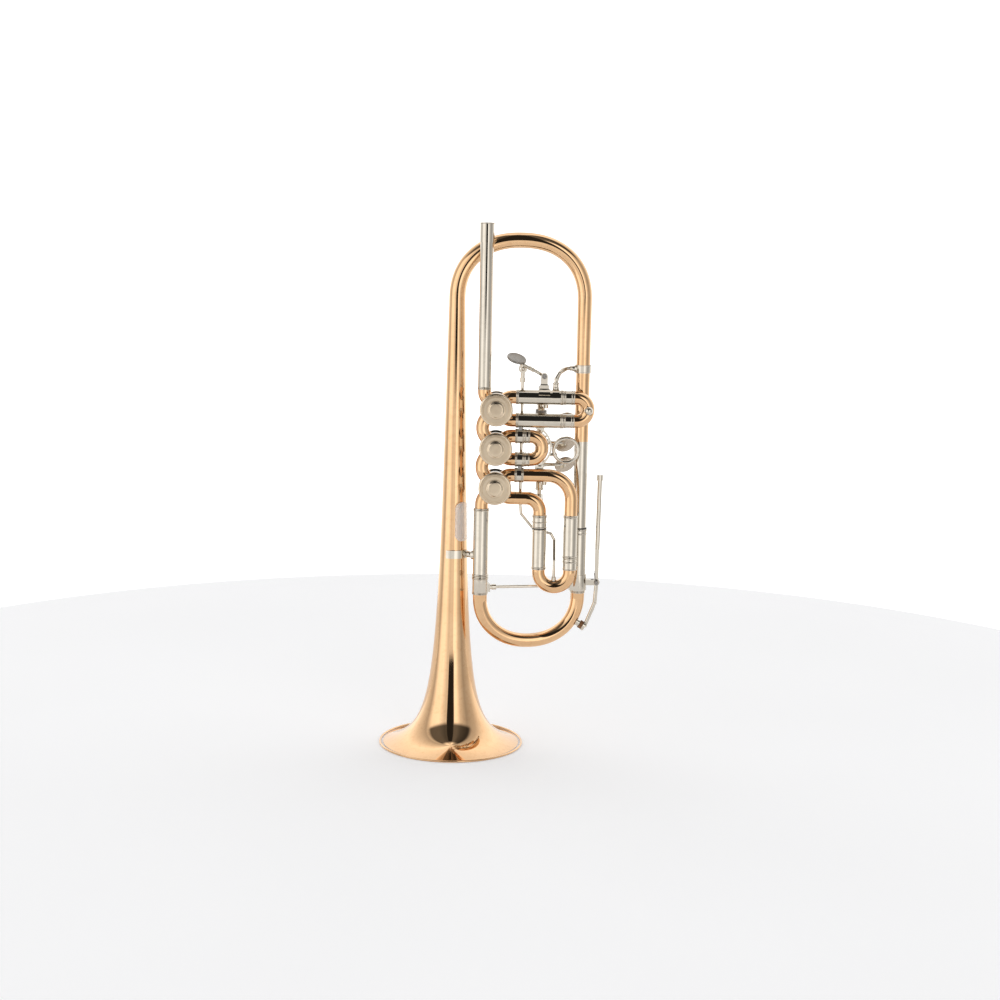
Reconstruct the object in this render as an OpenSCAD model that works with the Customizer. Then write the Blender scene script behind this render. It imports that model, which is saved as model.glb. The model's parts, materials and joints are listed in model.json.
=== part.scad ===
// Rotary-valve trumpet in B flat, standing on its bell.
// Z is the bell axis direction, up. Y = 0 is the plane of the bell and the top bow.
// The valve caps face -Y and the finger levers are on the +Y side. Millimetres.

/* [Bell] */
// Distance of the bell axis from the origin, along X
bell_x = -33.5; // [-36:0.5:-32]
// Radius of the bell at its rim
rim_r = 65; // [60:0.5:66]
// Height at which the bell stem meets the top bow
bell_top = 392; // [380:1:400]
// Thickness of the bell metal
bell_wall = 0.7; // [0.6:0.1:1]
// Sharpness of the flare: the stem narrows with this power of the height
flare_power = 0.57; // [0.56:0.01:0.6]
// Height scale of the flare
flare_h = 8.8; // [8:0.1:9]

/* [Tubing] */
// Inside diameter of the air path through the valves
bore_d = 10.8; // [10.6:0.1:10.9]
// Outside diameter of the valve crooks and of the inner legs of the valve slides
tube_d = 11.6; // [11.4:0.1:11.7]
// Outside diameter of the valve slides' sleeves
sleeve_d = 12.7; // [12.5:0.1:12.8]
// Outside diameter of the end rings on the valve slides' sleeves
ring_d = 13.4; // [13:0.1:13.5]
// Inside diameter of the main tuning slide and of the top bow
main_bore_d = 11.2; // [11:0.1:11.4]
// Outside diameter of the main tuning slide's bow and inner legs
main_d = 12.4; // [12:0.1:12.5]
// Outside diameter of the main tuning slide's sleeves
main_sleeve_d = 13.7; // [13.4:0.1:13.8]
// Outside diameter of the end rings on the main sleeves
main_ring_d = 14.7; // [14.2:0.1:15]
// Radial clearance of a sliding leg in its sleeve
slide_fit = 0.05; // [0.02:0.01:0.08]

/* [Layout] */
// Plane of the valves, the mouthpipe and the slides, along Y
port_y = -16; // [-16.5:0.1:-15.5]
// Mouthpipe axis, from the bell axis
pipe_dx = 25.4; // [25:0.1:25.6]
// Axis of the left leg of the main slide, from the bell axis
left_dx = 24.5; // [24.3:0.1:25]
// Axis of the right leg, from the bell axis
right_dx = 111.7; // [111.5:0.1:112]
// Axis of the valves, from the bell axis
valve_dx = 36; // [35.8:0.1:36.2]
// Height of the top of the receiver
top_z = 466.5; // [463:0.5:468]

/* [Valves] */
// Height of the middle valve
valve_z = 272; // [271.5:0.1:272.5]
// Distance between valves
valve_pitch = 34.4; // [34.3:0.1:34.6]
// Radius of the rotor
rotor_r = 11; // [11:0.02:11.04]
// Running clearance of the rotor and its spindles
rotor_fit = 0.06; // [0.03:0.01:0.08]
// Outside radius of the casings
casing_r = 13; // [12.9:0.1:13]
// Outside radius of the screw caps
cap_r = 14.35; // [14.2:0.05:14.4]
// Height of each slide leg above or below its valve's axis
leg_dz = 10.2; // [10:0.1:10.3]

/* [Slides] */
// Travel of the main tuning slide
tuning_travel = 25; // [15:1:28]
// Travel of the first slide
slide_1_travel = 25; // [10:1:25]
// Travel of the second slide
slide_2_travel = 4.5; // [3:0.5:4.5]
// Swing of the third slide's trigger, in degrees
trigger_swing = 38; // [36:1:39]

/* [Levers] */
// Swing of a finger lever, in degrees
lever_swing = 34; // [33:0.5:34]
// Crank radius on each rotor
crank_r = 5.5; // [5.4:0.1:5.6]
// Distance between the touchpieces
touch_pitch = 19.8; // [19.5:0.1:20]
// Distance of the touchpieces from the lever axle
touch_arm = 22; // [21:0.5:23]

/* [Hidden] */
$fn = 64;

gold = "#c98a4b";
nickel = "#a9a59b";
satin = "#c9b997";
steel = "#777777";
cork = "#8a5a35";

// Axes of the tubes, from the origin.
pipe_x = bell_x + pipe_dx;
left_x = bell_x + left_dx;
right_x = bell_x + right_dx;
valve_x = bell_x + valve_dx;
valve_zs = [valve_z + valve_pitch, valve_z, valve_z - valve_pitch];
sleeve_id = tube_d + 2 * slide_fit;
main_sleeve_id = main_d + 2 * slide_fit;
tube_r = tube_d / 2;
sleeve_r = sleeve_d / 2;
main_r = main_d / 2;
main_sleeve_r = main_sleeve_d / 2;

// A port leaves the rotor at 45 degrees, and its crook then turns to its own direction.
port_s = rotor_r * sin(45);
knuckle_r = (leg_dz - port_s) / (1 - cos(45));
knuckle_end = port_s + knuckle_r * sin(45);
link_r = (valve_pitch - 2 * port_s) / (2 * sin(45));
entry_r = (valve_x - port_s - pipe_x) / (1 - cos(45));
exit_r = (valve_x - port_s - left_x) / (1 - cos(45));
entry_top = valve_zs[0] + port_s + entry_r * sin(45);
exit_end = valve_zs[2] - port_s - exit_r * sin(45);

// Stations along a valve's axis, from the port plane. Negative is the cap side.
rotor_half = 9.5;
bore_half = rotor_half + 0.3;
plate_t = 3;
casing_front = -14.5;
wall_back = 13;
nose_back = 18;
nose_r = 5.2;
spindle_r = 3;
cap_front = -18.5;
cap_skirt = -10;
crank_y = 19;
crank_t = 3;
link_t = 3;
link_gap = 0.35;
link_y = crank_y + crank_t + link_gap + link_t / 2;
pin_r = 1.5;
pin_fit = 0.06;

// The levers turn about one axle parallel to Z. Each short arm moves its link rod along X.
lever_half = lever_swing / 2;
lever_arm = crank_r * sin(45) / sin(lever_half);
axle_x = bell_x + 76;
axle_y = port_y + link_y + lever_arm * (1 + cos(lever_half)) / 2;
axle_r = 2;
hub_r = 3.7;
axle_bottom = 221;
axle_top = 320.6;
touch_zs = [valve_z + 0.5 + touch_pitch, valve_z + 0.5, valve_z + 0.5 - touch_pitch];
touch_d = 17;
hubs = [[282.5, 315.6], [262.5, 280.5], [230, 257.5]];
link_rise = crank_r * cos(45);
arm_t = 3;
arm_drop = 2.2;
eye_r = 3.3;
eye_half = 1.75;
tip_pin_r = 1.2;
tip_clear = 0.55;

// Third slide: the inlet leg on the right, the outlet leg on the left.
s3_left_x = bell_x + 75.9;
s3_right_x = bell_x + 103.3;
s3_bow_r = (s3_right_x - s3_left_x) / 2;
s3_mid_x = (s3_left_x + s3_right_x) / 2;
s3_bow_z = 162;
s3_split_left = 200.6;
s3_split_right = 173.6;
s3_ferrule_top = 213;
s3_inlet_r = 21;
s3_outlet_r = 12;
rod_y = port_y + 9.6;
rod_r = 1.3;
trigger_arm = 19.6;
trigger_x = bell_x + 77.6;
trigger_z = 334.4;
trigger_half = trigger_swing / 2;
slide_3_travel = 2 * trigger_arm * sin(trigger_half);
ball_x = trigger_x - trigger_arm * (1 + cos(trigger_half)) / 2;
ball_z = trigger_z + trigger_arm * sin(trigger_half);

// Main tuning slide: its bow lies in a slanted vertical plane through both legs.
tuning_dx = right_x - left_x;
tuning_turn = atan2(-port_y, tuning_dx);
tuning_w = sqrt(tuning_dx * tuning_dx + port_y * port_y) / 2;
tuning_r = 40;
tuning_z = 137.5;
ferrule_low = 140.5;
main_split = 156;
right_split = 198.5;

// Top bow.
top_w = right_dx / 2;
top_r = 48;
top_start = 404;
stem_d = 14.4;
top_d = 13.3;
gold_end = 277;

// Water key.
key_x = bell_x + 128.2;
key_z = 150.2;
seat_angle = 31;
seat_x = right_x - tuning_r * (1 - cos(seat_angle)) * cos(tuning_turn);
seat_y = -tuning_r * (1 - cos(seat_angle)) * sin(tuning_turn);
seat_z = tuning_z - tuning_r * sin(seat_angle);
seat_out = main_r + 2.8;
cork_gap = 0.3;
cork_t = 3;
cup_t = 2.4;

// Single stations.
lip_z = 0.46;
bead_r = 1;
receiver_h = 17.1;
brace_z = 146.8;
ring_x = bell_x + 98;
// Length of leg that stays inside its sleeve at full travel.
main_grip = 29;
slide_1_grip = 13.5;
slide_2_grip = 1.5;

// Outside radius of the bell at height z, with a slight barrel shape along the stem.
function bell_r(z) = rim_r * pow((z + flare_h) / flare_h, -flare_power) + 0.8 * sin(180 * z / 400);
// Heights along the bell from its lip, closer together near the rim.
function bell_zs(n) = [for (i = [0 : n]) lip_z + (bell_top - lip_z) * pow(i / n, 2.2)];

module ring_2d(d_out, d_in) {
    difference() {
        circle(d = d_out);
        circle(d = d_in);
    }
}

// An arc of tube in an XZ plane, from angle a0 to a1, measured from +X towards +Z.
module arc_xz(x, y, z, r, a0, a1, d_out, d_in) {
    translate([x, y, z]) rotate([90, 0, 0]) rotate([0, 0, a0])
        rotate_extrude(angle = a1 - a0) translate([r, 0]) rotate(90) ring_2d(d_out, d_in);
}

module tube_z(x, y, z0, z1, d_out, d_in) {
    translate([x, y, z0]) linear_extrude(z1 - z0) ring_2d(d_out, d_in);
}

module tube_x(x0, x1, y, z, d_out, d_in) {
    translate([x0, y, z]) rotate([0, 90, 0]) linear_extrude(x1 - x0) ring_2d(d_out, d_in);
}

module disc_x(x0, x1, y, z, r) {
    translate([x0, y, z]) rotate([0, 90, 0]) cylinder(h = x1 - x0, r = r);
}

// A cylinder along Y, from y0 to y1.
module disc_y(x, y0, y1, z, r) {
    translate([x, y1, z]) rotate([90, 0, 0]) cylinder(h = y1 - y0, r = r);
}

module disc_z(x, y, z0, z1, r) {
    translate([x, y, z0]) cylinder(h = z1 - z0, r = r);
}

module ring_y(x, y0, y1, z, r_out, r_in) {
    translate([x, y1, z]) rotate([90, 0, 0]) linear_extrude(y1 - y0) ring_2d(2 * r_out, 2 * r_in);
}

// A straight rod between two points.
module rod(p, q, r) {
    d = q - p;
    translate(p) rotate([0, acos(d[2] / norm(d)), atan2(d[1], d[0])]) cylinder(h = norm(d), r = r, $fn = 24);
}

// A bent rod through a list of points, with a slightly larger bead at each bend.
module bent_rod(points, r) {
    for (i = [0 : len(points) - 2]) rod(points[i], points[i + 1], r);
    for (i = [1 : 1 : len(points) - 2]) translate(points[i]) sphere(r = r * 1.06, $fn = 24);
}

module all_casings(r) {
    for (z = valve_zs) disc_y(valve_x, port_y - 30, port_y + 30, z, r);
}

// A flat-topped bow from x = -w to x = w above z = 0: two quarter arcs and a straight between them.
module bow(w, r, d_out, d_in) {
    arc_xz(-w + r, 0, 0, r, 90, 180, d_out, d_in);
    tube_x(-w + r, w - r, 0, r, d_out, d_in);
    arc_xz(w - r, 0, 0, r, 0, 90, d_out, d_in);
}

module bell() {
    zs = bell_zs(36);
    color(gold) translate([bell_x, 0, 0]) rotate_extrude($fn = 96) polygon(concat(
        [for (z = zs) [bell_r(z), z]],
        [for (i = [len(zs) - 1 : -1 : 0]) [bell_r(zs[i]) - bell_wall, zs[i]]]));
}

// The bead at the rim, with the narrow flat ring on which the instrument stands.
module bell_rim_bead() {
    flat = 0.05;
    color(gold) translate([bell_x, 0, 0]) rotate_extrude($fn = 96) intersection() {
        translate([rim_r - bead_r, bead_r - flat]) circle(r = bead_r, $fn = 24);
        translate([rim_r - 2 * bead_r, 0]) square(2 * bead_r);
    }
}

module top_bow() {
    color(gold) {
        tube_z(bell_x, 0, bell_top, top_start, stem_d, main_bore_d);
        translate([bell_x + top_w, 0, top_start]) bow(top_w, top_r, top_d, main_bore_d);
        tube_z(right_x, 0, gold_end, top_start, main_d, main_bore_d);
    }
}

module leg_tube() {
    color(nickel) tube_z(right_x, 0, 143, gold_end, main_d, main_bore_d);
}

module mouthpipe() {
    z0 = entry_top + 1.6;
    h = top_z - receiver_h - z0;
    color(nickel) translate([pipe_x, port_y, z0]) difference() {
        cylinder(h = h, d = 11.7);
        cylinder(h = h, d1 = bore_d, d2 = 8.8);
    }
}

module mouthpiece_receiver() {
    color(nickel) {
        difference() {
            translate([pipe_x, port_y, top_z - receiver_h]) cylinder(h = receiver_h, d = 12.6);
            translate([pipe_x, port_y, top_z - receiver_h - 1]) cylinder(h = receiver_h + 2, d = 9.8);
        }
    }
}

module mouthpipe_saddle() {
    color(nickel) difference() {
        translate([pipe_x - 5, port_y + 2, 440.5]) cube([10, -port_y - 6, 12]);
        disc_z(pipe_x, port_y, 430, 460, 6.5);
        arc_xz(bell_x + top_r, 0, top_start, top_r, 90, 180, top_d, 1);
    }
}

module entry_crook() {
    color(gold) {
        tube_z(pipe_x, port_y, entry_top, entry_top + 1.6, tube_d, bore_d);
        difference() {
            arc_xz(pipe_x + entry_r, port_y, entry_top, entry_r, 180, 225, tube_d, bore_d);
            all_casings(casing_r);
        }
    }
}

module link_crooks() {
    color(gold) difference() {
        for (i = [0, 1])
            arc_xz(valve_x - port_s + link_r * cos(45), port_y, (valve_zs[i] + valve_zs[i + 1]) / 2,
                link_r, 135, 225, tube_d, bore_d);
        all_casings(casing_r);
    }
}

module exit_crook() {
    color(gold) {
        difference() {
            translate([left_x, port_y, exit_end]) mirror([0, 0, 1])
                arc_xz(exit_r, 0, 0, exit_r, 180, 225, tube_d, bore_d);
            all_casings(casing_r);
        }
        translate([left_x, port_y, exit_end]) mirror([0, 0, 1])
            tube_z(0, 0, 0, exit_end - 218, tube_d, bore_d);
    }
}

// The casing: open on the cap side, with a bearing wall and nose on the lever side.
module valve_casing(z) {
    color(nickel) translate([valve_x, port_y, z]) difference() {
        union() {
            disc_y(0, casing_front, wall_back, 0, casing_r);
            disc_y(0, wall_back - 2, wall_back, 0, casing_r + 1);
            disc_y(0, wall_back - 1, nose_back, 0, nose_r);
        }
        disc_y(0, casing_front - 1, bore_half, 0, rotor_r + rotor_fit);
        disc_y(0, 0, nose_back + 1, 0, spindle_r + rotor_fit);
        for (a = [45 : 90 : 315]) rotate([0, a, 0]) cylinder(h = casing_r + 5, d = bore_d);
    }
}

module bearing_plate(z) {
    color(satin) translate([valve_x, port_y, z])
        ring_y(0, -bore_half - plate_t, -bore_half, 0, rotor_r + 0.02, spindle_r + rotor_fit);
}

// The screw cap, with a raised boss and a shallow groove.
module valve_cap(z) {
    boss_r = 6.4;
    color(satin) translate([valve_x, port_y, z]) difference() {
        union() {
            disc_y(0, cap_front, cap_skirt, 0, cap_r);
            disc_y(0, cap_front - 0.7, cap_front, 0, boss_r);
        }
        disc_y(0, casing_front - 0.2, cap_skirt + 1, 0, casing_r + 0.03);
        disc_y(0, cap_front + 1.4, cap_skirt, 0, casing_r - 1.5);
        ring_y(0, cap_front - 1, cap_front + 0.35, 0, boss_r + 4.4, boss_r + 3.8);
    }
}

// A rotor at rest: each passage joins the two ports of one side. The crank leans 45 degrees to +X.
module rotor(z) {
    groove_r = 4.1;
    groove_half = (bore_d - 2 * groove_r) / 2;
    color(steel) translate([valve_x, port_y, z]) {
        difference() {
            disc_y(0, -rotor_half, rotor_half, 0, rotor_r);
            for (a = [0, 180]) rotate([0, a, 0]) translate([rotor_r * sqrt(2), 0, 0])
                rotate([90, 0, 0]) rotate_extrude() translate([rotor_r, 0]) {
                    square([2 * groove_r, 2 * groove_half], center = true);
                    for (s = [-1, 1]) translate([0, s * groove_half]) circle(r = groove_r);
                }
        }
        disc_y(0, -rotor_half - 2.9, 1 - rotor_half, 0, spindle_r);
        disc_y(0, rotor_half - 1, crank_y + 1, 0, spindle_r);
        rotate([0, 45, 0]) {
            disc_y(0, crank_y, crank_y + crank_t, 0, 4.6);
            translate([-2.8, crank_y, 0]) cube([5.6, crank_t, crank_r]);
            disc_y(0, crank_y, crank_y + crank_t, crank_r, 2.8);
            disc_y(0, crank_y + crank_t, link_y + link_t / 2 + link_gap, crank_r, pin_r);
            disc_y(0, link_y + link_t / 2 + link_gap, link_y + link_t / 2 + link_gap + 1.4, crank_r, 2.7);
            translate([-1.6, crank_y, -9]) cube([3.2, crank_t, 9]);
            disc_y(0, wall_back + 0.6, crank_y + crank_t, -9, 1.6);
        }
        disc_y(0, crank_y + crank_t, crank_y + crank_t + 1.3, 0, 2);
    }
}

// Two corks a valve, at which the stop pin of the rotor comes to rest.
module stop_corks() {
    cork_r = 2;
    spread = 45 + 2 * asin((1.6 + cork_r + 0.25) / 2 / 9);
    color(cork) for (z = valve_zs) for (s = [-1, 1])
        translate([valve_x, port_y, z]) rotate([0, s * spread, 0])
            disc_y(0, wall_back, wall_back + 4, -9, cork_r);
}

// The gold knuckles that lead from each valve to its slide legs.
module slide_crooks() {
    color(gold) difference() {
        for (i = [0, 1, 2]) for (s = [0, 1]) if (i < 2 || s == 0)
            translate([valve_x, port_y, valve_zs[i]]) mirror([0, 0, s]) {
                arc_xz(knuckle_end, 0, leg_dz - knuckle_r, knuckle_r, 90, 135, tube_d, bore_d);
                tube_x(knuckle_end, 17, 0, leg_dz, tube_d, bore_d);
            }
        all_casings(casing_r);
    }
}

module slide_1_sleeves() {
    x0 = valve_x + 17;
    x1 = bell_x + 94.6;
    color(nickel) for (s = [-1, 1]) {
        z = valve_zs[0] + s * leg_dz;
        tube_x(x0, x0 + 2.4, port_y, z, ring_d, bore_d);
        tube_x(x0 + 2.4, x1 - 2.6, port_y, z, sleeve_d, sleeve_id);
        tube_x(x1 - 2.6, x1, port_y, z, ring_d, sleeve_id);
    }
}

module slide_2_sleeves() {
    x0 = valve_x + 17;
    color(nickel) for (s = [-1, 1]) {
        z = valve_zs[1] + s * leg_dz;
        tube_x(x0, x0 + 2, port_y, z, ring_d, bore_d);
        tube_x(x0 + 2, x0 + 6.4, port_y, z, sleeve_d, sleeve_id);
        tube_x(x0 + 6.4, x0 + 8, port_y, z, ring_d, sleeve_id);
    }
}

// The gold crooks of the third slide: the inlet over and down on the right, the outlet on the left.
module slide_3_crooks() {
    z_in = valve_zs[2] + leg_dz;
    z_out = valve_zs[2] - leg_dz;
    x_in = s3_right_x - s3_inlet_r;
    x_out = s3_left_x - s3_outlet_r;
    color(gold) {
        tube_x(valve_x + 25, x_in, port_y, z_in, tube_d, bore_d);
        arc_xz(x_in, port_y, z_in - s3_inlet_r, s3_inlet_r, 0, 90, tube_d, bore_d);
        tube_z(s3_right_x, port_y, s3_ferrule_top, z_in - s3_inlet_r, tube_d, bore_d);
        difference() {
            translate([valve_x, port_y, valve_zs[2]]) mirror([0, 0, 1])
                arc_xz(knuckle_end, 0, leg_dz - knuckle_r, knuckle_r, 90, 135, tube_d, bore_d);
            all_casings(casing_r);
        }
        tube_x(valve_x + knuckle_end, x_out, port_y, z_out, tube_d, bore_d);
        arc_xz(x_out, port_y, z_out - s3_outlet_r, s3_outlet_r, 0, 90, tube_d, bore_d);
        tube_z(s3_left_x, port_y, s3_ferrule_top, z_out - s3_outlet_r, tube_d, bore_d);
    }
}

// Fixed nickel pieces of the third slide: a sleeve on the right, an inner leg on the left.
module slide_3_sleeves() {
    z = valve_zs[2] + leg_dz;
    color(nickel) {
        tube_x(valve_x + 17, valve_x + 19, port_y, z, ring_d, bore_d);
        tube_x(valve_x + 19, valve_x + 23, port_y, z, sleeve_d, bore_d);
        tube_x(valve_x + 23, valve_x + 25, port_y, z, ring_d, bore_d);
        tube_z(s3_right_x, port_y, s3_ferrule_top - 2.6, s3_ferrule_top, sleeve_d, bore_d);
        tube_z(s3_right_x, port_y, s3_split_right + 3.4, s3_ferrule_top - 2.6, sleeve_d, sleeve_id);
        tube_z(s3_right_x, port_y, s3_split_right + 0.6, s3_split_right + 3.4, ring_d - 0.3, sleeve_id);
        tube_z(s3_left_x, port_y, s3_split_left + 0.6, s3_ferrule_top, ring_d - 0.3, bore_d);
        tube_z(s3_left_x, port_y, 168, s3_split_left + 0.6, tube_d, bore_d);
    }
}

module main_sleeve() {
    color(nickel) {
        tube_z(left_x, port_y, 215.5, 218, main_sleeve_d, bore_d);
        tube_z(left_x, port_y, main_split + 3, 215.5, main_sleeve_d, main_sleeve_id);
        tube_z(left_x, port_y, main_split + 0.3, main_split + 3, main_ring_d, main_sleeve_id);
    }
}

// Thin black rings that soften the end of each slide's travel.
module slide_bumpers() {
    t = 0.9;
    color("#202020") {
        tube_z(right_x, 0, right_split + 0.3, right_split + 0.3 + t, main_sleeve_d, main_d + 0.04);
        tube_z(s3_left_x, port_y, s3_split_left - 0.35, s3_split_left + 0.55, sleeve_d, tube_d + 0.04);
    }
}

// Short posts that tie the slides to each other beside the valves.
module spacer_posts() {
    x = valve_x + 19.7;
    color(steel) for (i = [0, 1]) {
        z = (valve_zs[i] + valve_zs[i + 1]) / 2;
        difference() {
            translate([x, port_y - 3, z - 3]) cube([3.2, 6, 6]);
            for (s = [-1, 1])
                disc_x(x - 1, x + 5, port_y, z + s * (valve_pitch / 2 - leg_dz), sleeve_r + 0.02);
        }
    }
}

module slide_1_bow() {
    x0 = bell_x + 104.4;
    x1 = bell_x + 106;
    z = valve_zs[0];
    color(gold) {
        for (s = [-1, 1]) tube_x(x0, x1, port_y, z + s * leg_dz, tube_d, bore_d);
        arc_xz(x1, port_y, z, leg_dz, -90, 90, tube_d, bore_d);
    }
}

module slide_1_legs() {
    x1 = bell_x + 95;
    x0 = x1 - slide_1_travel - slide_1_grip;
    x2 = bell_x + 104.4;
    color(nickel) for (s = [-1, 1]) {
        z = valve_zs[0] + s * leg_dz;
        tube_x(x0, x1, port_y, z, tube_d, bore_d);
        tube_x(x1, x1 + 1.6, port_y, z, ring_d - 0.6, bore_d);
        tube_x(x1 + 1.6, x2 - 3, port_y, z, tube_d + 0.5, bore_d);
        tube_x(x2 - 3, x2, port_y, z, ring_d - 0.8, bore_d);
    }
}

module slide_1_knob() {
    x = bell_x + 106 + leg_dz;
    y = port_y - tube_r;
    color(nickel) difference() {
        union() {
            disc_y(x, y - 2.4, y + 0.8, valve_zs[0], 2.2);
            translate([x, y - 4.6, valve_zs[0]]) sphere(r = 3.4);
        }
        arc_xz(bell_x + 106, port_y, valve_zs[0], leg_dz, -90, 90, tube_d, 0.1);
    }
}

module slide_2_bow() {
    color(gold) {
        arc_xz(bell_x + 66.5, port_y, valve_zs[1], leg_dz, -90, 90, tube_d, bore_d);
        for (s = [-1, 1]) tube_x(bell_x + 66, bell_x + 66.5, port_y, valve_zs[1] + s * leg_dz, tube_d, bore_d);
    }
}

module slide_2_legs() {
    x1 = valve_x + 25.3;
    x0 = x1 - slide_2_travel - slide_2_grip;
    x2 = bell_x + 66;
    color(nickel) for (s = [-1, 1]) {
        z = valve_zs[1] + s * leg_dz;
        tube_x(x0, x1, port_y, z, tube_d, bore_d);
        tube_x(x1, x1 + 1.4, port_y, z, ring_d - 0.6, bore_d);
        tube_x(x1 + 1.4, x2 - 1.6, port_y, z, tube_d + 0.5, bore_d);
        tube_x(x2 - 1.6, x2, port_y, z, ring_d - 0.8, bore_d);
    }
}

module slide_3_bow() {
    color(gold) {
        arc_xz(s3_mid_x, port_y, s3_bow_z, s3_bow_r, 180, 360, tube_d, bore_d);
        for (x = [s3_left_x, s3_right_x]) tube_z(x, port_y, s3_bow_z, s3_bow_z + 2, tube_d, bore_d);
    }
}

module slide_3_legs() {
    z0 = s3_bow_z + 2;
    color(nickel) {
        tube_z(s3_left_x, port_y, z0, z0 + 2.6, sleeve_d, bore_d);
        tube_z(s3_left_x, port_y, z0 + 2.6, s3_split_left - 3.1, sleeve_d, sleeve_id);
        tube_z(s3_left_x, port_y, s3_split_left - 3.1, s3_split_left - 0.7, sleeve_d + 0.5, sleeve_id);
        tube_z(s3_right_x, port_y, z0, s3_split_right - 1.6, sleeve_d, bore_d);
        tube_z(s3_right_x, port_y, s3_split_right - 1.6, s3_split_right + 0.25, ring_d - 0.4, bore_d);
        tube_z(s3_right_x, port_y, s3_split_right + 0.25, 208, tube_d, bore_d);
    }
}

// The rod from the trigger to the third slide. It passes behind the tubes of the slides.
module slide_3_push_rod() {
    slot_half = 0.6;
    eye = 3.8;
    crown_z = s3_bow_z - s3_bow_r + tube_r;
    color(nickel) {
        difference() {
            union() {
                disc_y(ball_x, rod_y - 2, rod_y + 2, ball_z, eye);
                disc_z(ball_x, rod_y, ball_z - 8, ball_z - 2.5, 1.9);
            }
            for (s = [-1, 1]) disc_y(ball_x + s * slot_half, rod_y - 3, rod_y + 3, ball_z, 1.5);
            translate([ball_x - slot_half, rod_y - 3, ball_z - 1.5]) cube([2 * slot_half, 6, 3]);
        }
        disc_z(ball_x, rod_y, ball_z - 12, ball_z - 8, 2.3);
        bent_rod([[ball_x, rod_y, ball_z - 12], [ball_x, rod_y, 222], [ball_x + 1, rod_y, 212],
            [ball_x + 11, rod_y, 200], [s3_mid_x - 3, rod_y, 194.5], [s3_mid_x, rod_y, 189],
            [s3_mid_x, port_y, 172], [s3_mid_x, port_y, crown_z + 2]], rod_r);
        difference() {
            disc_z(s3_mid_x, port_y, crown_z - 3, crown_z + 3, 2);
            arc_xz(s3_mid_x, port_y, s3_bow_z, s3_bow_r, 180, 360, tube_d, 0.1);
        }
    }
}

// The fixed saddle and fork on the first slide's upper sleeve.
module trigger_bracket() {
    z1 = valve_zs[0] + leg_dz;
    cheek_t = 1.6;
    cheek_y = 2.1;
    color(nickel) {
        difference() {
            union() {
                disc_x(trigger_x - 5, trigger_x + 5, port_y, z1, sleeve_r + 1.3);
                translate([trigger_x - 4, port_y, z1]) cube([8, rod_y - port_y + 3.7, 10.6]);
            }
            disc_x(trigger_x - 9, trigger_x + 9, port_y, z1, sleeve_r);
            translate([trigger_x - 9, port_y - 12, z1 - 12]) cube([18, 30, 14.8]);
        }
        for (s = [-1, 1]) difference() {
            union() {
                translate([trigger_x - 3, rod_y + s * (cheek_y + cheek_t / 2) - cheek_t / 2, z1 + 10.6])
                    cube([6, cheek_t, trigger_z - z1 - 10.6]);
                disc_y(trigger_x, rod_y + s * (cheek_y + cheek_t / 2) - cheek_t / 2,
                    rod_y + s * (cheek_y + cheek_t / 2) + cheek_t / 2, trigger_z, 3);
            }
            disc_y(trigger_x, rod_y - 9, rod_y + 9, trigger_z, 1.2);
        }
        disc_y(trigger_x, rod_y - cheek_y - cheek_t - 0.6, rod_y + cheek_y + cheek_t + 0.6, trigger_z, 1.2);
    }
}

// The thumb trigger: hub, arm, pin for the push rod and a tilted touchpiece, at rest.
module trigger_lever() {
    touch = [bell_x + 52.7, rod_y - 4.5, 349];
    arm_y = rod_y - 3.8;
    elbow = [trigger_x - 6, arm_y, trigger_z + 3.6];
    arm_end = [trigger_x - 20, arm_y, 345];
    color(nickel) {
        ring_y(trigger_x, rod_y - 1.8, rod_y + 1.8, trigger_z, 2.9, 1.26);
        rod([trigger_x - 2.4, rod_y, trigger_z + 1.2], elbow, 1.4);
        rod(elbow, arm_end, 1.5);
        translate(elbow) sphere(r = 1.62, $fn = 24);
        rod(arm_end, touch - [0, 0, 0.8], 1.5);
        translate(arm_end) sphere(r = 1.62, $fn = 24);
        disc_y(ball_pin_x(), arm_y, rod_y + 3, ball_z, 1.3);
        rod([ball_pin_x(), arm_y, ball_z - 0.6], [ball_pin_x() - 0.6, arm_y, 345], 1.3);
        translate(touch) rotate([24, 16, 0]) {
            cylinder(h = 1.8, d = 17.5);
            translate([0, 0, -0.6]) cylinder(h = 0.6, d = 14);
        }
    }
}
function ball_pin_x() = trigger_x - trigger_arm * cos(trigger_half);

// Places its children in the slanted plane of the main tuning slide, with the left leg at x = 0.
module in_tuning_plane() {
    translate([left_x, port_y, 0]) rotate([0, 0, tuning_turn]) children();
}

module tuning_bow() {
    w = tuning_w;
    r = tuning_r;
    color(gold) {
        in_tuning_plane() {
            arc_xz(r, 0, tuning_z, r, 180, 270, main_d, main_bore_d);
            tube_x(r, 2 * w - r, 0, tuning_z - r, main_d, main_bore_d);
            tube_z(0, 0, tuning_z, ferrule_low, main_d, main_bore_d);
            tube_z(2 * w, 0, tuning_z, ferrule_low, main_d, main_bore_d);
        }
        difference() {
            in_tuning_plane() arc_xz(2 * w - r, 0, tuning_z, r, 270, 360, main_d, main_bore_d);
            water_hole();
        }
    }
}

// Turns its children so that +Z points square out of the bow at the drain.
module at_drain() {
    translate([seat_x, seat_y, seat_z]) rotate([0, 90 + seat_angle, 0]) children();
}

// The drain hole, square to the outside of the bow.
module water_hole() {
    at_drain() cylinder(h = 12, d = 3.4, $fn = 24);
}

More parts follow.
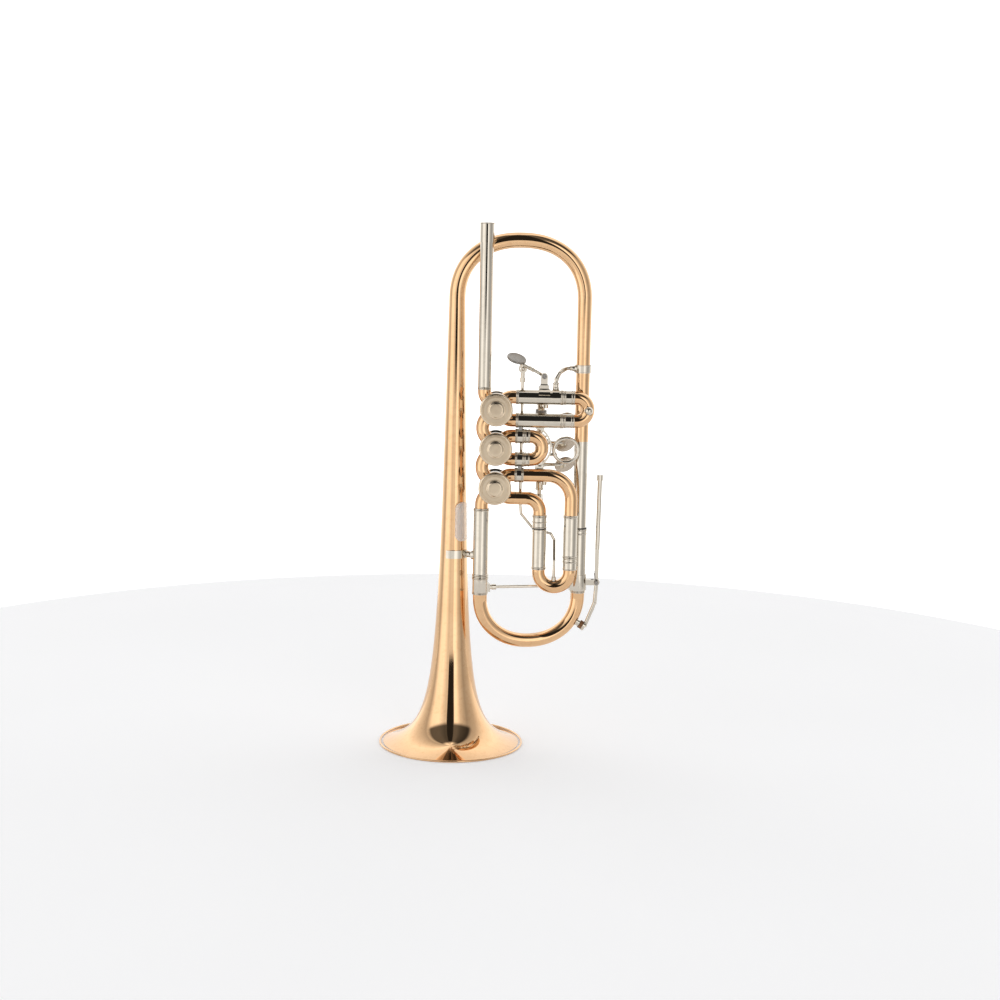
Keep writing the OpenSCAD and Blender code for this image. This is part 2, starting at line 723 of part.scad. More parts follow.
module tuning_legs() {
    low = ferrule_low + 2;
    color(nickel) {
        tube_z(left_x, port_y, ferrule_low, low, main_ring_d - 0.6, main_bore_d);
        tube_z(left_x, port_y, low, main_split - 2, main_sleeve_d, main_bore_d);
        tube_z(left_x, port_y, main_split - 2, main_split, main_ring_d, main_bore_d);
        tube_z(left_x, port_y, main_split, main_split + tuning_travel + main_grip, main_d, main_bore_d);
        tube_z(right_x, 0, ferrule_low, low, main_ring_d - 0.6, main_bore_d);
        tube_z(right_x, 0, low, right_split - 5, main_sleeve_d, main_sleeve_id);
        tube_z(right_x, 0, right_split - 5, right_split, main_ring_d, main_sleeve_id);
    }
}

module tuning_brace() {
    span = 2 * tuning_w;
    foot = main_sleeve_r;
    color(nickel) in_tuning_plane() {
        difference() {
            union() {
                disc_x(4, span - 4, 0, brace_z, 1.3);
                disc_x(4, foot + 3.6, 0, brace_z, 2);
                disc_x(foot + 3.6, foot + 7.2, 0, brace_z, 2.5);
                disc_x(span - foot - 6, span - foot - 2.6, 0, brace_z, 2.5);
                disc_x(span - foot - 3, span - foot - 1, 0, brace_z, 2);
                translate([2, -4.4, brace_z - 3.6]) cube([foot - 0.6, 8.8, 7.2]);
                translate([span - foot - 1.4, -4.4, brace_z - 3.6]) cube([foot - 1, 8.8, 7.2]);
            }
            disc_z(0, 0, 120, 170, foot);
            disc_z(span, 0, 120, 170, foot);
        }
    }
}

// The saddle and fork that carry the water key, and the nipple around the drain hole.
module water_key_post() {
    cheek_y = 2.6;
    cheek_t = 1.6;
    color(nickel) {
        difference() {
            union() {
                disc_z(right_x, 0, key_z - 7, key_z + 7, main_sleeve_r + 0.9);
                translate([right_x, -3.4, key_z - 2.4]) cube([key_x - right_x - 4.6, 6.8, 4.8]);
                for (s = [-1, 1]) {
                    translate([key_x - 5.5, s * cheek_y - cheek_t / 2, key_z - 2.4]) cube([5.5, cheek_t, 4.8]);
                    disc_y(key_x, s * cheek_y - cheek_t / 2, s * cheek_y + cheek_t / 2, key_z, 2.4);
                }
            }
            disc_z(right_x, 0, 120, 200, main_sleeve_r);
            translate([right_x - 12, -12, key_z - 9]) cube([12.5, 24, 18]);
        }
        disc_y(key_x, -4.2, 4.2, key_z, 1.1);
        difference() {
            at_drain() translate([0, 0, main_r - 1]) cylinder(h = seat_out - main_r + 1, r = 3);
            in_tuning_plane() translate([2 * tuning_w - tuning_r, 0, tuning_z]) mirror([0, 0, 1])
                arc_xz(0, 0, 0, tuning_r, 0, 90, main_d, 0.5);
            water_hole();
        }
    }
}

// A point outside the drain hole, at height h above the bow's centre line.
function drain_point(h) =
    [seat_x + h * cos(seat_angle), seat_y, seat_z - h * sin(seat_angle)];
module water_key_lever() {
    back = drain_point(seat_out + cork_gap + cork_t + cup_t);
    bend = [key_x - 0.8, 0, key_z - 19];
    shaft_low = [key_x + 0.4, 0, key_z + 30];
    shaft_top = [key_x + 1, 0, key_z + 93];
    color(nickel) {
        ring_y(key_x, -1.5, 1.5, key_z, 3.1, 1.16);
        translate([key_x - 1.6, -1.5, key_z + 2.6]) cube([3.6, 3, 30]);
        rod(shaft_low, shaft_top, 2.1);
        rod([key_x + 0.3, 0, key_z - 2.2], bend, 1.8);
        rod(bend, back, 1.8);
        translate(bend) sphere(r = 1.95, $fn = 24);
        translate(drain_point(seat_out + cork_gap + cork_t)) rotate([0, 90 + seat_angle, 0])
            cylinder(h = cup_t, r = 4.2);
    }
    color(cork) translate([key_x + 1, 0, key_z + 92]) cylinder(h = 5, r = 2.8);
}

module water_key_cork() {
    color(cork) translate(drain_point(seat_out + cork_gap)) rotate([0, 90 + seat_angle, 0])
        cylinder(h = cork_t, r = 3.7);
}

// The coil of the water key's spring, on the pivot pin outside the fork.
module water_key_spring() {
    color(steel) for (s = [-1, 1])
        ring_y(key_x, s * 3.9 - 0.25, s * 3.9 + 0.25, key_z, 2.1, 1.2);
}

// The lever axle, with a bar at each end that stands on the back of a slide tube.
module lever_axle() {
    sleeve_z = valve_zs[0] + leg_dz;
    bar_t = 2.8;
    bar_z = sleeve_z - 0.4;
    low_z = 223;
    color(nickel) {
        disc_z(axle_x, axle_y, axle_bottom, axle_top, axle_r);
        for (z = [axle_bottom - 1.8, axle_top]) disc_z(axle_x, axle_y, z, z + 1.8, 3);
        difference() {
            for (z = [bar_z, low_z]) {
                translate([axle_x - 3, port_y + 2, z]) cube([6, axle_y - port_y - 2, bar_t]);
                disc_z(axle_x, axle_y, z, z + bar_t, 3.6);
            }
            disc_x(axle_x - 9, axle_x + 9, port_y, sleeve_z, sleeve_r);
            disc_z(axle_x, axle_y, axle_bottom, axle_top, axle_r - 0.2);
            arc_xz(s3_left_x - s3_outlet_r, port_y, valve_zs[2] - leg_dz - s3_outlet_r, s3_outlet_r,
                -5, 90, tube_d, 1);
        }
    }
}

// A finger lever at rest: touchpiece raised, with the short arm at the far end of its own hub.
module finger_lever(i) {
    arm_z = valve_zs[i] + link_rise - arm_drop;
    z0 = hubs[i][0];
    z1 = hubs[i][1];
    color(nickel) translate([axle_x, axle_y, 0]) rotate([0, 0, lever_half]) {
        difference() {
            union() {
                disc_z(0, 0, z0, z1, hub_r);
                translate([0, -1.5, touch_zs[i] - 2]) cube([touch_arm, 3, 4]);
                translate([-1.8, -lever_arm, arm_z - arm_t]) cube([3.6, lever_arm, arm_t]);
                disc_z(0, -lever_arm, arm_z - arm_t, arm_z, 2.4);
            }
            disc_z(0, 0, z0 - 1, z1 + 1, axle_r + 0.06);
        }
        disc_z(0, -lever_arm, arm_z, arm_z + 6, tip_pin_r);
        disc_z(0, -lever_arm, arm_z + 6, arm_z + 7, 2.1);
        disc_y(touch_arm, 1.5, 4.1, touch_zs[i], touch_d / 2);
    }
}

// A link rod, parallel to X: one eye on the crank pin, one loose eye on the lever's tip pin.
module link_rod(i) {
    x0 = valve_x + crank_r * sin(45);
    x1 = axle_x + lever_arm * sin(lever_half);
    y = port_y + link_y;
    z = valve_zs[i] + link_rise;
    color(nickel) difference() {
        union() {
            disc_y(x0, y - link_t / 2, y + link_t / 2, z, eye_r);
            disc_x(x0, x1, y, z, 1.25);
            disc_x(x0 + 9, x0 + 15, y, z, 1.9);
            disc_z(x1, y, z - eye_half, z + eye_half, eye_r);
        }
        disc_y(x0, y - 5, y + 5, z, pin_r + pin_fit);
        disc_z(x1, y, z - 5, z + 5, tip_pin_r + tip_clear);
    }
}

// The return springs, as the closed shape of their coils around the hubs.
module lever_springs() {
    color(steel) for (s = [[297, 303], [264, 269], [242, 248]])
        tube_z(axle_x, axle_y, s[0], s[1], 11.2, 2 * hub_r + 0.8);
}

module bell_brace() {
    z = 175;
    r = bell_r(z) + 0.35;
    reach = sqrt(left_dx * left_dx + port_y * port_y);
    turn = atan2(port_y, left_dx);
    color(nickel) {
        translate([bell_x, 0, z - 3.6]) rotate([0, 0, -118])
            rotate_extrude(angle = 98) translate([r, 0]) square([1.3, 7.2]);
        translate([bell_x, 0, z]) rotate([0, 0, turn]) difference() {
            union() {
                disc_x(r + 0.6, reach - 2, 0, 0, 1.7);
                translate([r + 3.4, 0, 0]) sphere(r = 2.8, $fn = 32);
                disc_x(reach - main_sleeve_r - 1.6, reach - main_sleeve_r + 3, 0, 0, 4.2);
            }
            disc_z(reach, 0, -20, 20, main_sleeve_r);
        }
    }
}

// The stay from the right leg to the first slide's upper sleeve.
module upper_stay() {
    z1 = valve_zs[0] + leg_dz;
    foot_x = bell_x + 87.6;
    collar_z = 341;
    color(nickel) {
        tube_z(right_x, 0, collar_z - 3.5, collar_z + 3.5, 14.6, main_d);
        difference() {
            union() {
                bent_rod([[right_x - 3, 0, collar_z], [right_x - 14, -4, collar_z + 0.5],
                    [foot_x + 3, port_y + 2, collar_z - 3], [foot_x, port_y, collar_z - 8],
                    [foot_x, port_y, z1 + 4]], 1.5);
                disc_z(foot_x, port_y, z1 + sleeve_r - 1, z1 + sleeve_r + 6.5, 2.4);
                disc_x(foot_x - 3, foot_x + 3, port_y, z1, sleeve_r + 1.1);
            }
            disc_z(right_x, 0, 300, 380, 7.2);
            disc_x(foot_x - 9, foot_x + 9, port_y, z1, sleeve_r);
            translate([foot_x - 9, port_y - 12, z1 - 12]) cube([18, 24, 9]);
        }
    }
}

// The thumb ring, on a strip that passes behind the second slide's bow.
module thumb_ring() {
    ring_z = valve_z - 2.4;
    wire = 1.6;
    strip_y = port_y + 8.4;
    strip_r = 18.2;
    color(nickel) {
        translate([ring_x, port_y + 8, ring_z]) rotate([90, 0, 0])
            rotate_extrude() translate([10.7, 0]) circle(r = wire, $fn = 24);
        translate([bell_x + 66.5, strip_y, valve_z]) rotate([90, 0, 0]) rotate([0, 0, -64])
            rotate_extrude(angle = 128) translate([strip_r, 0]) square([1.5, 4], center = true);
        for (s = [-1, 1]) {
            disc_x(bell_x + 83.8, ring_x - 10.2, strip_y, ring_z + s * 4.2, 1.5);
            difference() {
                translate([bell_x + 70.8, port_y + 2, valve_z + s * 18.9 - 2.4])
                    cube([7, strip_y + 2 - port_y - 2, 4.8]);
                for (z = [valve_zs[0] - leg_dz, valve_zs[2] + leg_dz])
                    disc_x(bell_x + 50, bell_x + 100, port_y, z, sleeve_r);
            }
        }
    }
}

// A clear guard between the bell and the main sleeve, where the hand holds the instrument.
module hand_guard() {
    z0 = 187;
    z1 = 222;
    r = bell_r(z0) + 1.2;
    color("#dde6ea", 0.4) intersection() {
        translate([bell_x, 0, z0]) rotate([0, 0, -84])
            rotate_extrude(angle = 58) translate([r, 0]) square([1.4, z1 - z0]);
        union() {
            for (z = [z0 + 7, z1 - 7]) disc_y(bell_x + 8, -30, 10, z, 7);
            translate([bell_x + 1, -30, z0 + 7]) cube([14, 40, z1 - z0 - 14]);
        }
    }
}

bell();
bell_rim_bead();
top_bow();
leg_tube();
mouthpipe();
mouthpiece_receiver();
mouthpipe_saddle();
entry_crook();
link_crooks();
exit_crook();
valve_casing(valve_zs[0]);  // valve_casing_1
valve_casing(valve_zs[1]);  // valve_casing_2
valve_casing(valve_zs[2]);  // valve_casing_3
bearing_plate(valve_zs[0]);  // bearing_plate_1
bearing_plate(valve_zs[1]);  // bearing_plate_2
bearing_plate(valve_zs[2]);  // bearing_plate_3
valve_cap(valve_zs[0]);  // valve_cap_1
valve_cap(valve_zs[1]);  // valve_cap_2
valve_cap(valve_zs[2]);  // valve_cap_3
rotor(valve_zs[0]);  // rotor_1
rotor(valve_zs[1]);  // rotor_2
rotor(valve_zs[2]);  // rotor_3
stop_corks();
slide_crooks();
slide_1_sleeves();
slide_2_sleeves();
slide_3_sleeves();
slide_3_crooks();
main_sleeve();
slide_bumpers();
spacer_posts();
slide_1_bow();
slide_1_legs();
slide_1_knob();
slide_2_bow();
slide_2_legs();
slide_3_bow();
slide_3_legs();
slide_3_push_rod();
trigger_bracket();
trigger_lever();
tuning_bow();
tuning_legs();
tuning_brace();
water_key_post();
water_key_lever();
water_key_cork();
water_key_spring();
lever_axle();
finger_lever(0);  // finger_lever_1
finger_lever(1);  // finger_lever_2
finger_lever(2);  // finger_lever_3
link_rod(0);  // link_rod_1
link_rod(1);  // link_rod_2
link_rod(2);  // link_rod_3
lever_springs();
bell_brace();
upper_stay();
thumb_ring();
hand_guard();
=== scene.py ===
"""The looks of a rotary-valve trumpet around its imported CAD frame.

Lengths are in metres, in the frame of the part: +Z up along the bell axis, +X from the bell to the slides, and the
valve caps face -Y. Sizes below are in millimetres and go through mm().
"""

import json
import math

import bpy
from mathutils import Matrix, Vector

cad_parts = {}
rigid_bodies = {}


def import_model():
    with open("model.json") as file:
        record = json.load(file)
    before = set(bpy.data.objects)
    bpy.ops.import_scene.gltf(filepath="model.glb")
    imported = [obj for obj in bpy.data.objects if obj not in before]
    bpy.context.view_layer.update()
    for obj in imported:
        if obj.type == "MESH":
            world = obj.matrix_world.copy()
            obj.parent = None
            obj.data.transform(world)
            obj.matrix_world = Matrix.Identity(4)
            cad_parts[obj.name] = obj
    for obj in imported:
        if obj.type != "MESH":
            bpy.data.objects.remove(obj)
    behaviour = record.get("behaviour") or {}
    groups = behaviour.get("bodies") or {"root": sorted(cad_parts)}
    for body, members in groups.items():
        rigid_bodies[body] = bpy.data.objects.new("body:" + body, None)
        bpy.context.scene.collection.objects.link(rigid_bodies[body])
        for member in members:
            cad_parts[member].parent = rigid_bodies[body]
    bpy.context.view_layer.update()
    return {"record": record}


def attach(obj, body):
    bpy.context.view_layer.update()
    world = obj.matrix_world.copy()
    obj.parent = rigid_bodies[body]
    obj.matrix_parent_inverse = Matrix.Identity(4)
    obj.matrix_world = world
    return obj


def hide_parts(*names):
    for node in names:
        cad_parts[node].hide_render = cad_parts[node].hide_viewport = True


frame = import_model()


def mm(*values):
    """One length, or a point, from millimetres to metres."""
    return values[0] * 0.001 if len(values) == 1 else Vector(values) * 0.001


# ---------------------------------------------------------------- layout, as in the part (millimetres)
BELL_X = -33.5
PORT_Y = -16.0
PIPE_X = BELL_X + 25.4
LEFT_X = BELL_X + 24.5
RIGHT_X = BELL_X + 111.7
VALVE_X = BELL_X + 36.0
VALVE_ZS = (306.4, 272.0, 237.6)
LEG_DZ = 10.2
SLIDE_1_TURN_X = 72.5
TUBE_R, BORE_R = 5.8, 5.4
SLEEVE_R, SLEEVE_IN = 6.35, 5.87
MAIN_R, MAIN_BORE = 6.2, 5.6
MAIN_SLEEVE_R, MAIN_SLEEVE_IN = 6.85, 6.27

# ---------------------------------------------------------------- camera
CAMERA_AT = Vector((0.0072, -1.476, 0.443))
CAMERA_PITCH = 8.48
CAMERA_ROLL = 1.10
camera_data = bpy.data.cameras.new("camera")
camera_data.lens = 60.3
camera_data.sensor_width = 36
camera = bpy.data.objects.new("camera", camera_data)
camera.matrix_world = (
    Matrix.Translation(CAMERA_AT)
    @ Matrix.Rotation(math.radians(90 - CAMERA_PITCH), 4, "X")
    @ Matrix.Rotation(math.radians(CAMERA_ROLL), 4, "Z")
)
bpy.context.scene.collection.objects.link(camera)
bpy.context.scene.camera = camera


# ---------------------------------------------------------------- materials
class Graph:
    """Short calls for building a node tree."""

    def __init__(self, tree):
        self.tree = tree

    def add(self, kind, inputs=None, **settings):
        node = self.tree.nodes.new("ShaderNode" + kind)
        for key, value in settings.items():
            setattr(node, key, value)
        for key, value in (inputs or {}).items():
            self.set(node, key, value)
        return node

    def set(self, node, key, value):
        if isinstance(value, bpy.types.NodeSocket):
            self.tree.links.new(value, node.inputs[key])
        else:
            node.inputs[key].default_value = value

    def math(self, operation, a, b=0.0, c=0.0):
        node = self.add("Math", operation=operation)
        for i, value in enumerate((a, b, c)):
            self.set(node, i, value)
        return node.outputs[0]

    def ramp(self, value, stops):
        node = self.add("ValToRGB", {"Fac": value})
        band = node.color_ramp
        while len(band.elements) < len(stops):
            band.elements.new(0.5)
        for element, (at, colour) in zip(band.elements, stops):
            element.position = at
            element.color = (*colour, 1) if len(colour) == 3 else colour
        return node.outputs["Color"]

    def surface(self, shader):
        self.tree.links.new(shader.outputs[0], self.add("OutputMaterial").inputs["Surface"])

    def noise(self, vector, scale, detail=3.0, roughness=0.5):
        node = self.add("TexNoise", {"Vector": vector, "Scale": scale, "Detail": detail, "Roughness": roughness})
        return node.outputs["Fac"]


def new_material(name):
    made = bpy.data.materials.new(name)
    made.use_nodes = True
    made.node_tree.nodes.clear()
    return made, Graph(made.node_tree)


def mixed(colour, other, share):
    """A share of the way from one colour to another."""
    return tuple(a + (b - a) * share for a, b in zip(colour, other))


def metal(name, colour, tint, rough, stretch=(1, 1, 1), scratch=0.02, coat=0.0, spots=0.5, tarnish=0.25):
    """A polished metal: tint and roughness drift across it, with fine wiping marks along one direction."""
    made, g = new_material(name)
    place = g.add("TexCoord").outputs["Object"]
    along = g.add("Mapping", {"Vector": place, "Scale": stretch}).outputs["Vector"]
    drift = g.noise(place, 38, 4)
    cloud = g.noise(place, 260, 3, 0.6)
    wipe = g.noise(along, 900, 4, 0.7)
    base = g.ramp(drift, [(0.32, mixed(colour, tint, tarnish)), (0.62, colour)])
    freckle = g.ramp(cloud, [(0.30, mixed((1, 1, 1), tint, spots * 0.25)), (0.5, (1, 1, 1))])
    tone = g.add("Mix", {0: 1.0, 6: base, 7: freckle}, data_type="RGBA", blend_type="MULTIPLY").outputs[2]
    mark = g.add("MapRange", {"Value": wipe, "From Min": 0.3, "From Max": 0.75, "To Min": rough * 0.75,
                              "To Max": rough * 1.5}).outputs[0]
    smudge = g.add("MapRange", {"Value": drift, "From Min": 0.4, "From Max": 0.75, "To Min": 0.0,
                                "To Max": rough * 0.5}).outputs[0]
    bump = g.add("Bump", {"Height": wipe, "Strength": scratch, "Distance": 0.0002})
    shader = g.add("BsdfPrincipled", {
        "Base Color": tone, "Metallic": 1.0, "Roughness": g.math("ADD", mark, smudge),
        "Coat Weight": coat, "Coat Roughness": 0.03, "Coat IOR": 1.45, "Normal": bump.outputs[0]})
    g.surface(shader)
    return made


def dull(name, colour, second, rough, grain=400.0, depth=0.35):
    """Cork, rubber and the like: mottled, rough and bumpy."""
    made, g = new_material(name)
    place = g.add("TexCoord").outputs["Object"]
    spots = g.noise(place, grain, 6, 0.65)
    cells = g.add("TexVoronoi", {"Vector": place, "Scale": grain * 1.6}).outputs["Distance"]
    height = g.math("ADD", spots, g.math("MULTIPLY", cells, 0.5))
    bump = g.add("Bump", {"Height": height, "Strength": depth, "Distance": 0.0004})
    rough_out = g.add("MapRange", {"Value": spots, "To Min": rough * 0.85,
                                   "To Max": min(1.0, rough * 1.15)}).outputs[0]
    shader = g.add("BsdfPrincipled", {
        "Base Color": g.ramp(spots, [(0.35, second), (0.65, colour)]), "Roughness": rough_out,
        "Normal": bump.outputs[0]})
    g.surface(shader)
    return made


def clear_plastic():
    """The guard's plastic, faintly smeared."""
    made, g = new_material("clear_plastic")
    place = g.add("TexCoord").outputs["Object"]
    smear = g.noise(place, 120, 4)
    shader = g.add("BsdfPrincipled", {
        "Base Color": g.ramp(smear, [(0.3, (0.90, 0.93, 0.95)), (0.7, (0.97, 0.98, 0.98))]),
        "Roughness": g.add("MapRange", {"Value": smear, "To Min": 0.02, "To Max": 0.12}).outputs[0],
        "IOR": 1.49, "Alpha": 0.32, "Specular IOR Level": 0.6, "Coat Weight": 0.4, "Coat Roughness": 0.02})
    g.surface(shader)
    return made


def cap_metal():
    """Satin cap metal with fine turning lines, made from the radius about each valve's axis."""
    made, g = new_material("valve_cap_metal")
    place = g.add("TexCoord").outputs["Object"]
    xyz = g.add("SeparateXYZ", {"Vector": place})
    dx = g.math("SUBTRACT", xyz.outputs["X"], mm(VALVE_X))
    pitch = mm(VALVE_ZS[0] - VALVE_ZS[1])
    dz = g.math("WRAP", g.math("SUBTRACT", xyz.outputs["Z"], mm(VALVE_ZS[1])), pitch / 2, -pitch / 2)
    radius = g.math("SQRT", g.math("ADD", g.math("MULTIPLY", dx, dx), g.math("MULTIPLY", dz, dz)))
    turned = g.add("TexNoise", {"W": g.math("MULTIPLY", radius, 5200), "Scale": 1.0, "Detail": 3.0},
                   noise_dimensions="1D").outputs["Fac"]
    drift = g.noise(place, 60, 4)
    tone = g.ramp(drift, [(0.3, (0.62, 0.50, 0.36)), (0.7, (0.72, 0.595, 0.44))])
    bump = g.add("Bump", {"Height": turned, "Strength": 0.10, "Distance": 0.0002})
    satin = g.add("MapRange", {"Value": turned, "To Min": 0.26, "To Max": 0.38}).outputs[0]
    # The slope of the boss and the edge of the cap are polished.
    slope = g.math("COMPARE", radius, mm(6.35), mm(1.0))
    edge = g.math("GREATER_THAN", radius, mm(13.05))
    polished = g.math("MAXIMUM", slope, edge)
    rough = g.add("Mix", {0: polished, 2: satin, 3: 0.07}).outputs[0]
    shader = g.add("BsdfPrincipled", {
        "Base Color": tone, "Metallic": 1.0, "Roughness": rough, "Normal": bump.outputs[0]})
    g.surface(shader)
    return made


GOLD = metal("gold_brass", (0.80, 0.515, 0.285), (0.60, 0.33, 0.15), 0.035, (0.15, 0.15, 1), 0.006, coat=0.15)
NICKEL = metal("nickel_silver", (0.66, 0.60, 0.51), (0.50, 0.45, 0.37), 0.045, (1, 1, 0.2), 0.008)
STEEL = metal("steel", (0.40, 0.38, 0.35), (0.25, 0.22, 0.20), 0.26, (1, 1, 1), 0.08, spots=0.9, tarnish=0.6)
DARK_NICKEL = metal("worn_touch", (0.30, 0.28, 0.25), (0.20, 0.17, 0.15), 0.34, (1, 1, 1), 0.15, spots=0.9)
PEARL = metal("touch_plate", (0.52, 0.44, 0.35), (0.36, 0.28, 0.21), 0.22, (1, 1, 1), 0.05)
CAP = cap_metal()
CORK = dull("cork", (0.34, 0.17, 0.075), (0.12, 0.05, 0.02), 0.85)
RUBBER = dull("black_rubber", (0.016, 0.015, 0.014), (0.030, 0.028, 0.026), 0.55, 600, 0.2)
CLEAR = clear_plastic()
BY_SLOT = {"gold_brass": GOLD, "nickel_silver": NICKEL, "valve_cap_metal": CAP, "steel": STEEL, "cork": CORK,
           "black_rubber": RUBBER, "clear_plastic": CLEAR}
for part in frame["record"]["subparts"]:
    node = bpy.data.objects[part["node"]]
    for held in node.material_slots:
        held.material = BY_SLOT[part["material_slot"]]


# ---------------------------------------------------------------- mesh makers
def finish_mesh(name, verts, faces, look, body, slot, nodes=(), sharp=32.0):
    """Makes a piece from metres, smooth except at edges sharper than the given angle."""
    mesh = bpy.data.meshes.new(name)
    mesh.from_pydata([tuple(v) for v in verts], [], faces)
    mesh.validate()
    mesh.polygons.foreach_set("use_smooth", [True] * len(mesh.polygons))
    mesh.set_sharp_from_angle(angle=math.radians(sharp))
    mesh.materials.append(look)
    piece = bpy.data.objects.new(name, mesh)
    bpy.context.scene.collection.objects.link(piece)
    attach(piece, body)
    if nodes:
        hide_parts(*nodes)
    return piece


def frame_of(axis):
    """Two unit vectors square to an axis."""
    axis = axis.normalized()
    side = axis.cross(Vector((0, 1, 0)) if abs(axis.y) < 0.9 else Vector((1, 0, 0))).normalized()
    return side, axis.cross(side)


def lathe_data(profile, origin, axis, segments=72):
    """Rings of a closed profile of (radius, height) about an axis from its origin, all in millimetres."""
    axis = Vector(axis).normalized()
    side, up = frame_of(axis)
    verts, faces = [], []
    for radius, height in profile:
        for k in range(segments):
            a = 2 * math.pi * k / segments
            out = side * math.cos(a) + up * math.sin(a)
            verts.append(mm(*(Vector(origin) + axis * height + out * radius)))
    rows = len(profile)
    for i in range(rows):
        j = (i + 1) % rows
        for k in range(segments):
            n = (k + 1) % segments
            faces.append((i * segments + k, i * segments + n, j * segments + n, j * segments + k))
    return verts, faces


def merged(*parts):
    """Several shapes as one list of points and faces."""
    verts, faces = [], []
    for part_verts, part_faces in parts:
        base = len(verts)
        verts += list(part_verts)
        faces += [tuple(base + i for i in face) for face in part_faces]
    return verts, faces


def sweep_data(points, radius, inner=None, segments=40):
    """A tube along points in millimetres. Radius is a number or a list. With an inner radius it is a hollow tube."""
    points = [Vector(p) for p in points]
    count = len(points)
    radii = list(radius) if isinstance(radius, (list, tuple)) else [radius] * count
    ways = [(points[min(i + 1, count - 1)] - points[max(i - 1, 0)]).normalized() for i in range(count)]
    side, _ = frame_of(ways[0])
    sides = []
    for way in ways:
        side = (side - way * side.dot(way)).normalized()
        sides.append(side.copy())

    def ring(i, r):
        up = ways[i].cross(sides[i])
        turn = [2 * math.pi * k / segments for k in range(segments)]
        return [mm(*(points[i] + (sides[i] * math.cos(a) + up * math.sin(a)) * r)) for a in turn]

    rows = [ring(i, radii[i]) for i in range(count)]
    if inner is not None:
        inners = list(inner) if isinstance(inner, (list, tuple)) else [inner] * count
        rows += [ring(i, inners[i]) for i in reversed(range(count))]
    else:
        rows = [ring(0, radii[0] * 0.02)] + rows + [ring(count - 1, radii[-1] * 0.02)]
    verts = [v for row in rows for v in row]
    faces = []
    total = len(rows)
    for i in range(total if inner is not None else total - 1):
        j = (i + 1) % total
        for k in range(segments):
            n = (k + 1) % segments
            faces.append((i * segments + k, j * segments + k, j * segments + n, i * segments + n))
    return verts, faces


def arc(centre, r, a0, a1, steps=24):
    """Points on an arc in a plane of constant Y, from +X towards +Z, angles in degrees."""
    cx, cy, cz = centre
    made = []
    for k in range(steps + 1):
        a = math.radians(a0 + (a1 - a0) * k / steps)
        made.append((cx + r * math.cos(a), cy, cz + r * math.sin(a)))
    return made


def line(p, q, steps=2):
    """Points at even steps from p to q."""
    p, q = Vector(p), Vector(q)
    return [tuple(p.lerp(q, k / steps)) for k in range(steps + 1)]


def joined(*runs):
    """Runs of points in one path, without the repeated end points."""
    path = []
    for run in runs:
        for p in run:
            if not path or (Vector(p) - Vector(path[-1])).length > 0.02:
                path.append(tuple(p))
    return path


def smooth_path(points, steps=8):
    """A Catmull-Rom curve through the points."""
    pts = [Vector(p) for p in points]
    pts = [pts[0] * 2 - pts[1]] + pts + [pts[-1] * 2 - pts[-2]]
    path = []
    for i in range(1, len(pts) - 2):
        a, b, c, d = pts[i - 1], pts[i], pts[i + 1], pts[i + 2]
        for k in range(steps):
            t = k / steps
            path.append(tuple(0.5 * (2 * b + (c - a) * t + (2 * a - 5 * b + 4 * c - d) * t * t
                                     + (3 * b - a - 3 * c + d) * t ** 3)))
    path.append(tuple(pts[-2]))
    return path


# ---------------------------------------------------------------- bell
def bell_r(z):
    """The bell's outer radius at a height above its rim."""
    return 65 * ((z + 8.8) / 8.8) ** -0.57 + 0.8 * math.sin(math.radians(180 * z / 400))


def bell():
    """The flare and stem as one skin, and the rim's bead around it."""
    wall, bead = 0.6, 1.0
    steps = 150
    low, top = 0.95, 393.0
    zs = [low + (top - low) * (k / steps) ** 2.4 for k in range(steps + 1)]
    outside = [(bell_r(z), z) for z in zs]
    inside = [(bell_r(z) - wall, z) for z in reversed(zs)]
    rim_r, rim_z = 65 - bead, 0.95
    skin = lathe_data(outside + inside, (BELL_X, 0, 0), (0, 0, 1), 180)
    wire = lathe_data([(rim_r + bead * math.cos(math.radians(a)), rim_z + 0.95 * math.sin(math.radians(a)))
                       for a in range(0, 360, 15)], (BELL_X, 0, 0), (0, 0, 1), 180)
    finish_mesh("bell_skin", *skin, GOLD, "root", "gold_brass", ["bell"])
    finish_mesh("bell_rim", *wire, GOLD, "root", "gold_brass", ["bell_rim_bead"])


bell()


# ---------------------------------------------------------------- bows
def arch(half, height, power, steps=64):
    """Points (u, v) of a smooth arch from u = -half to half, rising to height."""
    made = []
    for k in range(steps + 1):
        a = math.pi * (1 - k / steps)
        u, v = math.cos(a), math.sin(a)
        made.append((half * math.copysign(abs(u) ** (2 / power), u), height * abs(v) ** (2 / power)))
    return made


def even(points, steps):
    """The same path with points at even distances."""
    pts = [Vector(p) for p in points]
    dist = [0.0]
    for a, b in zip(pts, pts[1:]):
        dist.append(dist[-1] + (b - a).length)
    made, i = [], 0
    for k in range(steps + 1):
        want = dist[-1] * k / steps
        while i < len(pts) - 2 and dist[i + 1] < want:
            i += 1
        span = dist[i + 1] - dist[i]
        made.append(tuple(pts[i].lerp(pts[i + 1], (want - dist[i]) / span if span else 0)))
    return made


TOP_START = 400.0


